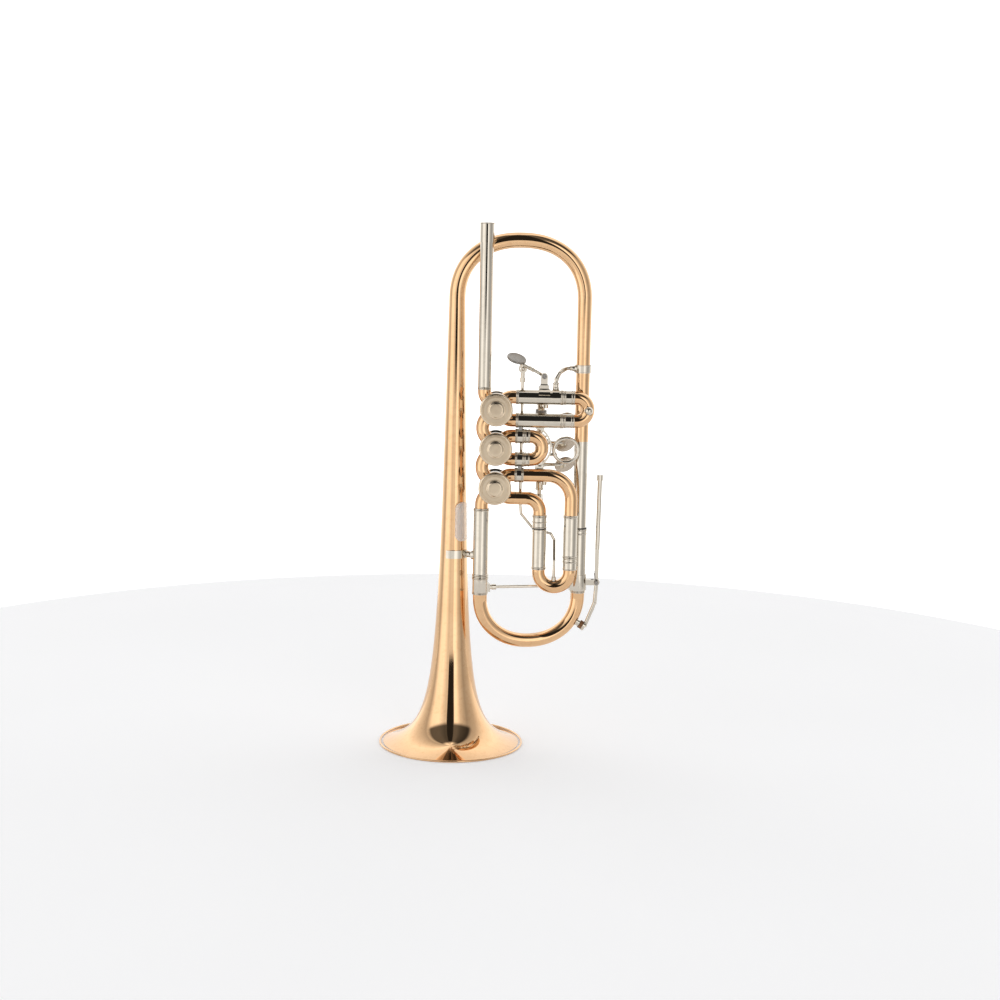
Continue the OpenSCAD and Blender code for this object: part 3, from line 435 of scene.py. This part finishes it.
def top_bow():
    """The tapering tube from the bell's stem over the arch and down the right leg."""
    half = 111.7 / 2
    over = [(BELL_X + half + u, 0, TOP_START + v) for u, v in arch(half, 452 - TOP_START, 2.25, 96)]
    stem = line((BELL_X, 0, 392), (BELL_X, 0, TOP_START), 3)
    leg = line((RIGHT_X, 0, TOP_START), (RIGHT_X, 0, 277), 16)
    path = even(joined(stem, over, leg), 150)
    length = [0.0]
    for a, b in zip(path, path[1:]):
        length.append(length[-1] + (Vector(b) - Vector(a)).length)
    radii = [7.3 - 1.1 * min(1.0, s / (length[-1] * 0.72)) for s in length]
    body = sweep_data(path, radii, [r - 0.5 for r in radii], 56)
    finish_mesh("top_bow_tube", *body, GOLD, "root", "gold_brass", ["top_bow"])


top_bow()

TUNING_TURN = math.atan2(16.0, RIGHT_X - LEFT_X)
TUNING_W = math.hypot(RIGHT_X - LEFT_X, 16.0)


def tuning_point(u, v, z):
    """From the slanted plane of the tuning slide: u along it from the left leg, v square to it."""
    c, s = math.cos(TUNING_TURN), math.sin(TUNING_TURN)
    return (LEFT_X + u * c - v * s, PORT_Y + u * s + v * c, z)


def tuning_bow():
    """The bend of the main tuning slide, in its slanted plane."""
    half = TUNING_W / 2
    under = [tuning_point(half + u, 0, 137.5 - v) for u, v in arch(half, 40, 2.12, 96)]
    left = line(tuning_point(0, 0, 140.5), tuning_point(0, 0, 137.5), 2)
    right = line(tuning_point(TUNING_W, 0, 137.5), tuning_point(TUNING_W, 0, 140.5), 2)
    path = even(joined(left, under, right), 120)
    body = sweep_data(path, MAIN_R, MAIN_BORE, 56)
    finish_mesh("tuning_bow_tube", *body, GOLD, "tuning_slide", "gold_brass", ["tuning_bow"])


tuning_bow()

# ---------------------------------------------------------------- sleeves, ferrules and legs
def turned(segments, inner):
    """A lathe profile from (kind, length, radius) segments, where the kind is tube, bead (rounded) or band (flat
    with eased edges), and from (length, radius) segments inside."""
    outside, h = [], 0.0
    for kind, length, r in segments:
        if kind == "bead":
            base = r - length * 0.42
            outside += [(base + (r - base) * math.sin(math.pi * k / 8),
                         h + length * (0.5 - 0.5 * math.cos(math.pi * k / 8))) for k in range(9)]
        elif kind == "band":
            outside += [(r - 0.18, h), (r, h + 0.18), (r, h + length - 0.18), (r - 0.18, h + length)]
        else:
            outside += [(r, h), (r, h + length)]
        h += length
    inside = []
    h = 0.0
    for length, r in inner:
        inside += [(r, h), (r, h + length)]
        h += length
    return outside + inside[::-1]


GROUPS = {}


def group(name, body, node, data):
    """Collects the shapes that stand for one node, so that they become one piece."""
    GROUPS.setdefault((name, body, node), []).append(data)


def add_tube(node, body, origin, axis, segments, inner):
    """A turned tube that stands for a node, or for a part of it."""
    group(node + "_turned", body, node, lathe_data(turned(segments, inner), origin, axis, 64))


for s in (-1, 1):
    z1, z2 = VALVE_ZS[0] + s * LEG_DZ, VALVE_ZS[1] + s * LEG_DZ
    add_tube("slide_1_sleeves", "root", (19.5, PORT_Y, z1), (1, 0, 0),
             [("bead", 1.2, 6.75), ("bead", 1.2, 6.75), ("tube", 36.6, SLEEVE_R), ("bead", 1.3, 6.8),
              ("bead", 1.3, 6.8)],
             [(41.6, SLEEVE_IN)])
    add_tube("slide_1_legs", "slide_1", (23.0, PORT_Y, z1), (1, 0, 0),
             [("tube", 38.5, TUBE_R), ("bead", 0.8, 6.45), ("bead", 0.8, 6.45), ("tube", 4.8, 6.05),
              ("bead", 1.0, 6.4),
              ("tube", 1.0, 6.1), ("bead", 1.0, 6.4)], [(47.9, BORE_R)])
    add_tube("slide_2_sleeves", "root", (19.5, PORT_Y, z2), (1, 0, 0),
             [("bead", 1.0, 6.75), ("bead", 1.0, 6.75), ("tube", 4.4, SLEEVE_R), ("bead", 0.8, 6.75),
              ("bead", 0.8, 6.75)],
             [(8.0, SLEEVE_IN)])
    add_tube("slide_2_legs", "slide_2", (21.8, PORT_Y, z2), (1, 0, 0),
             [("tube", 6.0, TUBE_R), ("bead", 0.7, 6.45), ("bead", 0.7, 6.45), ("tube", 1.7, 6.05),
              ("bead", 0.8, 6.4),
              ("bead", 0.8, 6.4)], [(10.7, BORE_R)])
S3_LEFT, S3_RIGHT = BELL_X + 75.9, BELL_X + 103.3
add_tube("slide_3_sleeves", "root", (19.5, PORT_Y, VALVE_ZS[2] + LEG_DZ), (1, 0, 0),
         [("bead", 1.0, 6.75), ("bead", 1.0, 6.75), ("tube", 4.0, SLEEVE_R), ("bead", 1.0, 6.75),
          ("bead", 1.0, 6.75)],
         [(8.0, BORE_R)])
add_tube("slide_3_sleeves", "root", (S3_RIGHT, PORT_Y, 174.2), (0, 0, 1),
         [("bead", 1.4, 6.75), ("bead", 1.4, 6.75), ("tube", 33.4, SLEEVE_R), ("bead", 1.3, 6.75),
          ("bead", 1.3, 6.75)],
         [(36.2, SLEEVE_IN), (2.6, BORE_R)])
add_tube("slide_3_sleeves", "root", (S3_LEFT, PORT_Y, 168.0), (0, 0, 1),
         [("tube", 33.2, TUBE_R), ("bead", 1.3, 6.75), ("tube", 3.4, 6.3), ("bead", 1.2, 6.75),
          ("tube", 3.4, 6.3),
          ("bead", 1.25, 6.75), ("bead", 1.25, 6.75)], [(45.0, BORE_R)])
add_tube("slide_3_legs", "slide_3", (S3_LEFT, PORT_Y, 164.0), (0, 0, 1),
         [("bead", 1.3, 6.75), ("bead", 1.3, 6.75), ("tube", 30.9, SLEEVE_R), ("band", 2.4, 6.6)],
         [(2.6, BORE_R), (33.3, SLEEVE_IN)])
add_tube("slide_3_legs", "slide_3", (S3_RIGHT, PORT_Y, 164.0), (0, 0, 1),
         [("bead", 1.2, 6.7), ("tube", 5.4, SLEEVE_R), ("bead", 1.4, 6.7), ("band", 1.85, 6.5),
          ("tube", 34.15, TUBE_R)],
         [(44.0, BORE_R)])
add_tube("main_sleeve", "root", (LEFT_X, PORT_Y, 156.3), (0, 0, 1),
         [("bead", 1.3, 7.35), ("bead", 1.4, 7.35), ("tube", 56.5, MAIN_SLEEVE_R), ("bead", 1.2, 7.25),
          ("bead", 1.3, 7.1)],
         [(59.2, MAIN_SLEEVE_IN), (2.5, BORE_R)])
add_tube("tuning_legs", "tuning_slide", (LEFT_X, PORT_Y, 140.5), (0, 0, 1),
         [("bead", 1.0, 7.1), ("bead", 1.0, 7.1), ("tube", 11.5, MAIN_SLEEVE_R), ("bead", 1.0, 7.35),
          ("bead", 1.0, 7.35),
          ("tube", 54.0, MAIN_R)], [(69.5, MAIN_BORE)])
add_tube("tuning_legs", "tuning_slide", (RIGHT_X, 0, 140.5), (0, 0, 1),
         [("bead", 1.0, 7.1), ("bead", 1.0, 7.1), ("tube", 51.0, MAIN_SLEEVE_R), ("bead", 1.5, 7.35),
          ("tube", 2.0, 7.0),
          ("bead", 1.5, 7.35)], [(2.0, MAIN_BORE), (56.0, MAIN_SLEEVE_IN)])
add_tube("mouthpiece_receiver", "root", (PIPE_X, PORT_Y, 449.4), (0, 0, 1),
         [("tube", 0.3, 6.1), ("tube", 15.6, 6.3), ("bead", 1.2, 6.42)], [(17.1, 4.9)])
add_tube("mouthpipe", "root", (PIPE_X, PORT_Y, 322.6), (0, 0, 1),
         [("bead", 1.2, 6.3), ("bead", 1.2, 6.3), ("tube", 124.4, 5.85)], [(126.8, 4.6)])


# ---------------------------------------------------------------- slide bows
def bend_piece(node, body, path):
    """A bent tube that stands for a slide's bow."""
    group(node + "_bend", body, node, sweep_data(path, TUBE_R, BORE_R, 48))


for k, z, start, turn_x in ((1, VALVE_ZS[0], 70.9, SLIDE_1_TURN_X), (2, VALVE_ZS[1], 32.5, 33.0)):
    bend_piece("slide_%d_bow" % k, "slide_%d" % k, joined(
        line((start, PORT_Y, z - LEG_DZ), (turn_x, PORT_Y, z - LEG_DZ)),
        arc((turn_x, PORT_Y, z), LEG_DZ, -90, 90, 40),
        line((turn_x, PORT_Y, z + LEG_DZ), (start, PORT_Y, z + LEG_DZ))))
mid = (S3_LEFT + S3_RIGHT) / 2
bend_piece("slide_3_bow", "slide_3", joined(
    line((S3_LEFT, PORT_Y, 164), (S3_LEFT, PORT_Y, 162)),
    arc((mid, PORT_Y, 162), (S3_RIGHT - S3_LEFT) / 2, 180, 360, 40),
    line((S3_RIGHT, PORT_Y, 162), (S3_RIGHT, PORT_Y, 164))))


# ---------------------------------------------------------------- valve caps
CAP_PROFILE = [(13.03, 10.0), (14.05, 10.0), (14.35, 10.3), (14.35, 11.0), (14.1, 11.2), (14.1, 11.6),
               (14.35, 11.8),
               (14.35, 17.0), (14.28, 17.45), (14.05, 17.9), (13.6, 18.25), (13.1, 18.42), (12.55, 18.45),
               (12.4, 18.25), (12.25, 18.45), (11.2, 18.5), (11.05, 18.3), (10.9, 18.5), (8.2, 18.5),
               (8.0, 18.35),
               (7.8, 18.5), (7.3, 18.52), (6.95, 18.65), (6.5, 19.15), (6.05, 19.55), (5.5, 19.75), (5.0, 19.8),
               (2.0, 19.78), (0.02, 19.76), (0.02, 16.5), (12.9, 16.5), (13.03, 16.3)]
for k, z in enumerate(VALVE_ZS, 1):
    group("valve_cap_%d_turned" % k, "root", "valve_cap_%d" % k,
          lathe_data(CAP_PROFILE, (VALVE_X, PORT_Y, z), (0, -1, 0), 128))


# ---------------------------------------------------------------- pull ball, springs, screws
def ball_profile(r, centre, a0=-90, a1=90, steps=18):
    """A lathe profile of a ball, or of a zone of it between two angles."""
    return [(max(0.02, r * math.cos(math.radians(a0 + (a1 - a0) * k / steps))),
             centre + r * math.sin(math.radians(a0 + (a1 - a0) * k / steps))) for k in range(steps + 1)]


group("slide_1_knob_turned", "slide_1", "slide_1_knob", lathe_data(
    [(0.02, -0.9), (3.1, -0.9), (3.1, 0.3), (2.9, 0.6), (1.7, 0.8), (1.45, 1.2)] + ball_profile(3.8, 4.75, -64,
                                                                                                90),
    (SLIDE_1_TURN_X + LEG_DZ, PORT_Y - TUBE_R, VALVE_ZS[0]), (0, -1, 0), 48))


def coil_path(centre, axis, r, start, end, turns, phase, per_turn=28):
    """A helix about an axis, between two distances along it."""
    axis = Vector(axis).normalized()
    side, up = frame_of(axis)
    made = []
    for k in range(int(turns * per_turn) + 1):
        t = k / (turns * per_turn)
        a = 2 * math.pi * turns * t + phase
        made.append(tuple(Vector(centre) + axis * (start + (end - start) * t)
                          + (side * math.cos(a) + up * math.sin(a)) * r))
    return made


AXLE = (42.5, 20.861)
for low, high in ((297, 303), (264, 269), (242, 248)):
    coil = coil_path((*AXLE, 0), (0, 0, 1), 4.75, low + 0.6, high - 0.6, 4, 0.6)
    first, last = Vector(coil[0]), Vector(coil[-1])
    coil = [tuple(first + Vector((-3.5, -6.0, 0)))] + [tuple(first + Vector((-1.2, -2.6, 0)))] + coil
    coil += [tuple(last + Vector((2.2, 1.6, 0))), tuple(last + Vector((6.5, 3.4, 0)))]
    group("lever_springs_coiled", "root", "lever_springs", sweep_data(coil, 0.55, None, 10))
KEY = (BELL_X + 128.2, 0.0, 150.2)
for s in (-1, 1):
    coil = coil_path(KEY, (0, s, 0), 1.75, 3.55, 4.75, 2.5, 0.4)
    end = Vector(coil[0])
    coil = [tuple(end + Vector((-1.0, 0, 9.0))), tuple(end + Vector((-0.5, 0, 4.0)))] + coil
    group("water_key_spring_coiled", "tuning_slide", "water_key_spring", sweep_data(coil, 0.3, None, 8))


def slotted_head(at, axis, r, h, turn=0.4):
    """A screw head in two halves beside its slot, on a thin foot."""
    axis = Vector(axis).normalized()
    side, up = frame_of(axis)
    across = side * math.cos(turn) + up * math.sin(turn)
    along = axis.cross(across)
    slot_half = r * 0.13
    verts, faces = lathe_data([(0.02, 0), (r, 0), (r, h * 0.45), (r * 0.97, h * 0.5), (0.02, h * 0.5)], at, axis, 32)
    for sign in (-1, 1):
        base = len(verts)
        edge = []
        limit = math.acos(slot_half / r)
        for k in range(15):
            a = -limit + 2 * limit * k / 14
            edge.append((r * math.cos(a), r * math.sin(a)))
        for level, shrink in ((0.5, 1.0), (0.85, 1.0), (1.0, 0.9)):
            for u, v in edge:
                u = max(slot_half, u * shrink)
                verts.append(mm(*(Vector(at) + axis * h * level + across * u * sign + along * v * shrink)))
        n = len(edge)
        for level in range(2):
            for k in range(n):
                m = (k + 1) % n
                faces.append((base + level * n + k, base + level * n + m, base + (level + 1) * n + m,
                              base + (level + 1) * n + k))
        faces.append(tuple(base + 2 * n + k for k in range(n)))
    return verts, faces


TRIGGER = (BELL_X + 77.6, PORT_Y + 9.6, 334.4)


def add_detail(name, body, slot, look, *data):
    finish_mesh(name, *merged(*data), look, body, slot)


add_detail("trigger_screws", "root", "steel", STEEL,
           slotted_head((TRIGGER[0], TRIGGER[1] - 4.3, TRIGGER[2]), (0, -1, 0), 2.2, 1.4),
           slotted_head((TRIGGER[0], TRIGGER[1] + 4.3, TRIGGER[2]), (0, 1, 0), 2.2, 1.4, 1.1))
add_detail("water_key_screws", "tuning_slide", "steel", STEEL,
           slotted_head((KEY[0], KEY[1] - 4.9, KEY[2]), (0, -1, 0), 2.0, 1.2, 0.9),
           slotted_head((KEY[0], KEY[1] + 4.9, KEY[2]), (0, 1, 0), 2.0, 1.2, 0.2))
add_detail("axle_screws", "root", "steel", STEEL,
           slotted_head((*AXLE, 322.4), (0, 0, 1), 2.7, 1.3, 0.7),
           slotted_head((*AXLE, 219.2), (0, 0, -1), 2.7, 1.3, 0.2))
for k, z in enumerate(VALVE_ZS, 1):
    add_detail("spindle_screw_%d" % k, "rotor_%d" % k, "steel", STEEL,
               slotted_head((VALVE_X, PORT_Y + 23.3, z), (0, 1, 0), 1.9, 1.1, 0.4 * k))



# ---------------------------------------------------------------- trigger and finger levers
def around_x(angle, v):
    """A vector turned about X by degrees; the next two turn about Y and Z."""
    c, s = math.cos(math.radians(angle)), math.sin(math.radians(angle))
    return Vector((v[0], v[1] * c - v[2] * s, v[1] * s + v[2] * c))


def around_y(angle, v):
    c, s = math.cos(math.radians(angle)), math.sin(math.radians(angle))
    return Vector((v[0] * c + v[2] * s, v[1], -v[0] * s + v[2] * c))


def around_z(angle, v):
    c, s = math.cos(math.radians(angle)), math.sin(math.radians(angle))
    return Vector((v[0] * c - v[1] * s, v[0] * s + v[1] * c, v[2]))


def ferrule(low, high, r, bead):
    """A closed profile: a turned sleeve with a bead at each end."""
    return [(0.02, low), (r, low), (bead, low + 0.35), (bead, low + 0.95), (r, low + 1.3), (r, high - 1.3),
            (bead, high - 0.95), (bead, high - 0.35), (r, high), (0.02, high)]


ARM_Y = -10.2
touch_at = (BELL_X + 52.7, -10.9, 349.0)
touch_way = around_y(16, around_x(24, (0, 0, 1)))
elbow, arm_end = (TRIGGER[0] - 6, ARM_Y, 338.0), (TRIGGER[0] - 20, ARM_Y, 345.0)
arm = smooth_path([(TRIGGER[0] - 2.0, -7.2, 335.4), (TRIGGER[0] - 4.6, -9.8, 337.2), elbow,
                   tuple(Vector(elbow).lerp(Vector(arm_end), 0.5)), arm_end, (20.6, -10.8, 347.0),
                   (19.3, -10.9, 348.6)], 10)
finish_mesh("trigger_lever_arm", *merged(
    lathe_data([(1.26, -1.85), (2.55, -1.85), (2.95, -1.5), (2.95, 1.5), (2.55, 1.85), (1.26, 1.85)],
               TRIGGER, (0, 1, 0), 40),
    sweep_data(arm, 1.45, None, 24),
    lathe_data(ferrule(-1.4, 3.2, 1.7, 2.0), tuple(Vector(elbow).lerp(Vector(arm_end), 0.35)),
               Vector(arm_end) - Vector(elbow), 28),
    lathe_data(ball_profile(1.95, 0.0), (25.2, ARM_Y, 340.9), (0, 1, 0), 28),
    lathe_data([(0.02, 0.2), (1.1, 0.2), (1.1, 6.8), (0.02, 6.8)], (25.034, ARM_Y, 340.781), (0, 1, 0), 28),
    sweep_data([(25.034, ARM_Y, 340.2), (24.434, ARM_Y, 345.0)], 1.3, None, 20)),
    NICKEL, "trigger", "nickel_silver", ["trigger_lever"])
add_detail("trigger_touch", "trigger", "nickel_silver", DARK_NICKEL, lathe_data(
    [(0.02, -0.7), (6.6, -0.7), (7.0, -0.1), (8.3, 0.0), (8.7, 0.35), (8.75, 1.2), (8.45, 1.7), (7.9, 1.9),
     (7.3, 1.75), (7.0, 1.62), (0.02, 1.5)], touch_at, touch_way, 72))
LEVER_REST = 17.0
LEVER_ARM, LINK_RISE = 13.302, 3.889
HUBS = ((282.5, 315.6), (262.5, 280.5), (230.0, 257.5))
TOUCH_ZS = (292.3, 272.5, 252.7)
TOUCH_DROPS = (0, 2.0, 0.8)
PLATE_TILT = 38


def finger_lever(k, touch_z, drop, hub, valve_at):
    """A hub on the axle, an arm to its tilted touch plate, and a short arm with the pin for its link rod."""
    def at(x, y, z):
        return tuple(Vector((*AXLE, 0)) + around_z(LEVER_REST, (x, y, z)))

    low, top = hub
    arm_low, arm_top = valve_at + LINK_RISE - 5.2, valve_at + LINK_RISE - 2.2
    across = around_z(LEVER_REST, (0, 1, 0))
    finish_mesh("finger_lever_%d_turned" % k, *merged(
        lathe_data([(2.06, low), (3.6, low), (3.95, low + 0.3), (3.95, low + 1.3), (3.6, low + 1.7),
                    (3.6, top - 1.7), (3.95, top - 1.3), (3.95, top - 0.3), (3.6, top), (2.06, top)],
                   (*AXLE, 0), (0, 0, 1), 40),
        sweep_data([at(2.6, 0, touch_z), at(6.0, 0, touch_z), at(12.0, 0, touch_z - 0.2),
                    at(18.0, 0.2, touch_z - 0.2), at(22.0, 1.6, touch_z)], [2.1, 1.9, 1.6, 1.5, 1.4], None, 24),
        lathe_data([(0.02, 0.0), (3.4, 0.0), (3.4, 0.8), (2.0, 1.4), (0.02, 1.4)], at(22, 1.0, touch_z), across,
                   32),
        sweep_data([at(0, -2.6, arm_low + 1.5), at(0, -LEVER_ARM, arm_low + 1.5)], 1.5, None, 24),
        lathe_data([(0.02, arm_low), (2.3, arm_low), (2.4, arm_low + 0.15), (2.4, arm_top - 0.15),
                    (2.3, arm_top),
                    (1.2, arm_top), (1.2, arm_top + 6.0), (2.0, arm_top + 6.0), (2.1, arm_top + 6.15),
                    (2.1, arm_top + 6.85), (1.9, arm_top + 7.0), (0.02, arm_top + 7.0)],
                   at(0, -LEVER_ARM, 0), (0, 0, 1), 32)),
        NICKEL, "lever_%d" % k, "nickel_silver", ["finger_lever_%d" % k])
    plate = [(0.02, -1.2), (8.1, -1.2), (8.8, -0.8), (9.1, -0.1), (9.1, 0.6), (8.9, 1.2), (8.4, 1.5),
             (7.8, 1.4),
             (0.02, 1.0)]
    add_detail("touch_plate_%d" % k, "lever_%d" % k, "nickel_silver", PEARL, lathe_data(
        plate, at(24.2, 2.8, touch_z - drop), around_z(LEVER_REST, around_x(PLATE_TILT, (0, 1, 0))), 64))


for lever in zip((1, 2, 3), TOUCH_ZS, TOUCH_DROPS, HUBS, VALVE_ZS):
    finger_lever(*lever)

# ---------------------------------------------------------------- upper stay, thumb ring and bell brace
stay = smooth_path([(75.2, 0, 341), (70.5, -1.4, 341.4), (64.2, -4.2, 341.4), (59.6, -9.2, 339.9),
                    (56.6, -13.4, 336.6),
                    (54.7, -15.6, 332.0), (54.1, -16, 327.0), (54.1, -16, 323.4)], 10)
finish_mesh("upper_stay_bent", *merged(
    sweep_data(stay, 1.75, None, 32),
    lathe_data([(6.1, -3.5), (7.05, -3.5), (7.4, -3.2), (7.4, -2.6), (7.25, -2.4), (7.25, 2.4), (7.4, 2.6),
                (7.4, 3.2),
                (7.05, 3.5), (6.1, 3.5)], (RIGHT_X, 0, 341), (0, 0, 1), 72),
    lathe_data([(0.02, 6.6), (3.3, 6.6), (3.3, 7.7), (2.7, 8.3), (2.3, 9.6), (2.0, 11.4), (2.3, 11.8),
                (2.0, 12.2), (0.02, 12.2)],
               (RIGHT_X, 0, 341), Vector((-1, -0.28, 0.05)), 40),
    lathe_data([(0.02, 322.0), (3.0, 322.0), (3.0, 322.9), (2.4, 323.3), (2.4, 324.0), (2.75, 324.5),
                (2.75, 325.3), (2.4, 325.8),
                (2.4, 328.2), (2.75, 328.6), (2.75, 329.3), (2.3, 329.8), (0.02, 329.8)], (54.1, -16, 0),
                (0, 0, 1), 40)),
    NICKEL, "root", "nickel_silver")
add_detail("thumb_ring_feet", "root", "nickel_silver", NICKEL, *[
    lathe_data(ball_profile(2.1, 0.0), (BELL_X + 88.4, -7.6, 269.6 + s * 4.2), (1, 0, 0), 32) for s in (-1, 1)])
BRACE_Z = 175
brace_way = Vector((LEFT_X - BELL_X, PORT_Y, 0)).normalized()
brace_at = Vector((BELL_X, 0, BRACE_Z)) + brace_way * (bell_r(BRACE_Z) + 0.35)
add_detail("bell_brace_neck", "root", "nickel_silver", NICKEL, lathe_data(
    [(0.02, 0.2), (3.3, 0.2), (3.3, 1.5), (2.4, 1.8), (2.4, 2.2)] + ball_profile(3.0, 4.6, -55, 55)
    + [(2.1, 7.2), (2.1, 8.0), (2.5, 8.4), (2.5, 9.0), (0.02, 9.0)], tuple(brace_at), brace_way, 40))

SLOT_OF = {row["node"]: row["material_slot"] for row in frame["record"]["subparts"]}
for (name, body, node), shapes in GROUPS.items():
    finish_mesh(name, *merged(*shapes), BY_SLOT[SLOT_OF[node]], body, SLOT_OF[node], [node])

# ---------------------------------------------------------------- stage and light
FLOOR_R = 0.8
floor_material, g = new_material("pale_floor")
floor_noise = g.noise(g.add("TexCoord").outputs["Object"], 3, 2)
floor_shader = g.add("BsdfPrincipled", {
    "Base Color": g.ramp(floor_noise, [(0.3, (0.88, 0.88, 0.89)), (0.7, (0.90, 0.90, 0.91))]), "Roughness": 0.9,
    "Specular IOR Level": 0.1, "Emission Color": (1.0, 1.0, 1.0, 1.0), "Emission Strength": 0.2})
g.surface(floor_shader)
floor_mesh = bpy.data.meshes.new("floor")
floor_ring = [(FLOOR_R * math.cos(a), FLOOR_R * math.sin(a),
               0) for a in (2 * math.pi * k / 96 for k in range(96))]
floor_mesh.from_pydata(floor_ring, [], [tuple(range(96))])
floor_mesh.materials.append(floor_material)
floor = bpy.data.objects.new("floor", floor_mesh)
bpy.context.scene.collection.objects.link(floor)

STUDIO_STRENGTH = 1.62
world = bpy.data.worlds.new("studio")
world.use_nodes = True
world.node_tree.nodes.clear()
bpy.context.scene.world = world
w = Graph(world.node_tree)
way = w.add("SeparateXYZ", {"Vector": w.add("TexCoord").outputs["Generated"]})
azimuth = w.math("ARCTAN2", way.outputs["X"], w.math("MULTIPLY", way.outputs["Y"], -1.0))
azimuth = w.math("MULTIPLY", azimuth, 180 / math.pi)
lift = w.math("MULTIPLY", w.math("ARCSINE", way.outputs["Z"]), 180 / math.pi)


def grey(value):
    return (value, value, value)


def window(value, low, high, soft):
    """1 between two values, falling to 0 over a soft margin."""
    rise = w.add("MapRange", {"Value": value, "From Min": low - soft, "From Max": low + soft},
                 interpolation_type="SMOOTHSTEP").outputs[0]
    fall = w.add("MapRange", {"Value": value, "From Min": high - soft, "From Max": high + soft, "To Min": 1.0,
                              "To Max": 0.0}, interpolation_type="SMOOTHSTEP").outputs[0]
    return w.math("MULTIPLY", rise, fall)


# Softboxes around the instrument, by azimuth from the front in degrees, positive to +X.
LIGHT_STOPS = ((-180, 0.62), (-142, 0.95), (-118, 0.62), (-90, 0.36), (-70, 0.90), (-45, 0.95), (-22, 0.55),
               (-12, 0.62),
               (6, 0.62), (10, 1.0), (24, 0.98), (38, 0.55), (62, 0.28), (92, 0.42), (118, 0.80), (145, 0.92),
               (180, 0.62))
turn = w.add("MapRange", {"Value": azimuth, "From Min": -180.0, "From Max": 180.0}).outputs[0]
around = w.ramp(turn, [((a + 180) / 360, grey(v)) for a, v in LIGHT_STOPS])
# The dark gap between the front boxes, which widens overhead.
slot = w.math("MULTIPLY", window(azimuth, -15.0, 13.0, 2.0), window(lift, -2.4, 80.0, 1.2))
hood = w.math("MULTIPLY", window(azimuth, -80.0, 74.0, 8.0), window(lift, 36.0, 82.0, 4.0))
gap = w.math("MAXIMUM", slot, w.math("MULTIPLY", hood, 0.92))
open_sky = w.math("SUBTRACT", 1.0, w.math("MULTIPLY", gap, 0.975))
lit = w.add("Mix", {0: 1.0, 6: around, 7: open_sky}, data_type="RGBA", blend_type="MULTIPLY").outputs[2]
seen = w.add("LightPath").outputs["Is Camera Ray"]
shown = w.add("Mix", {0: seen, 6: lit, 7: (1.0, 1.0, 1.0, 1.0)}, data_type="RGBA").outputs[2]
background = w.add("Background", {"Color": shown, "Strength": STUDIO_STRENGTH})
w.tree.links.new(background.outputs[0], w.add("OutputWorld").inputs["Surface"])

bpy.context.scene.view_settings.view_transform = "Standard"
bpy.context.scene.view_settings.look = "None"
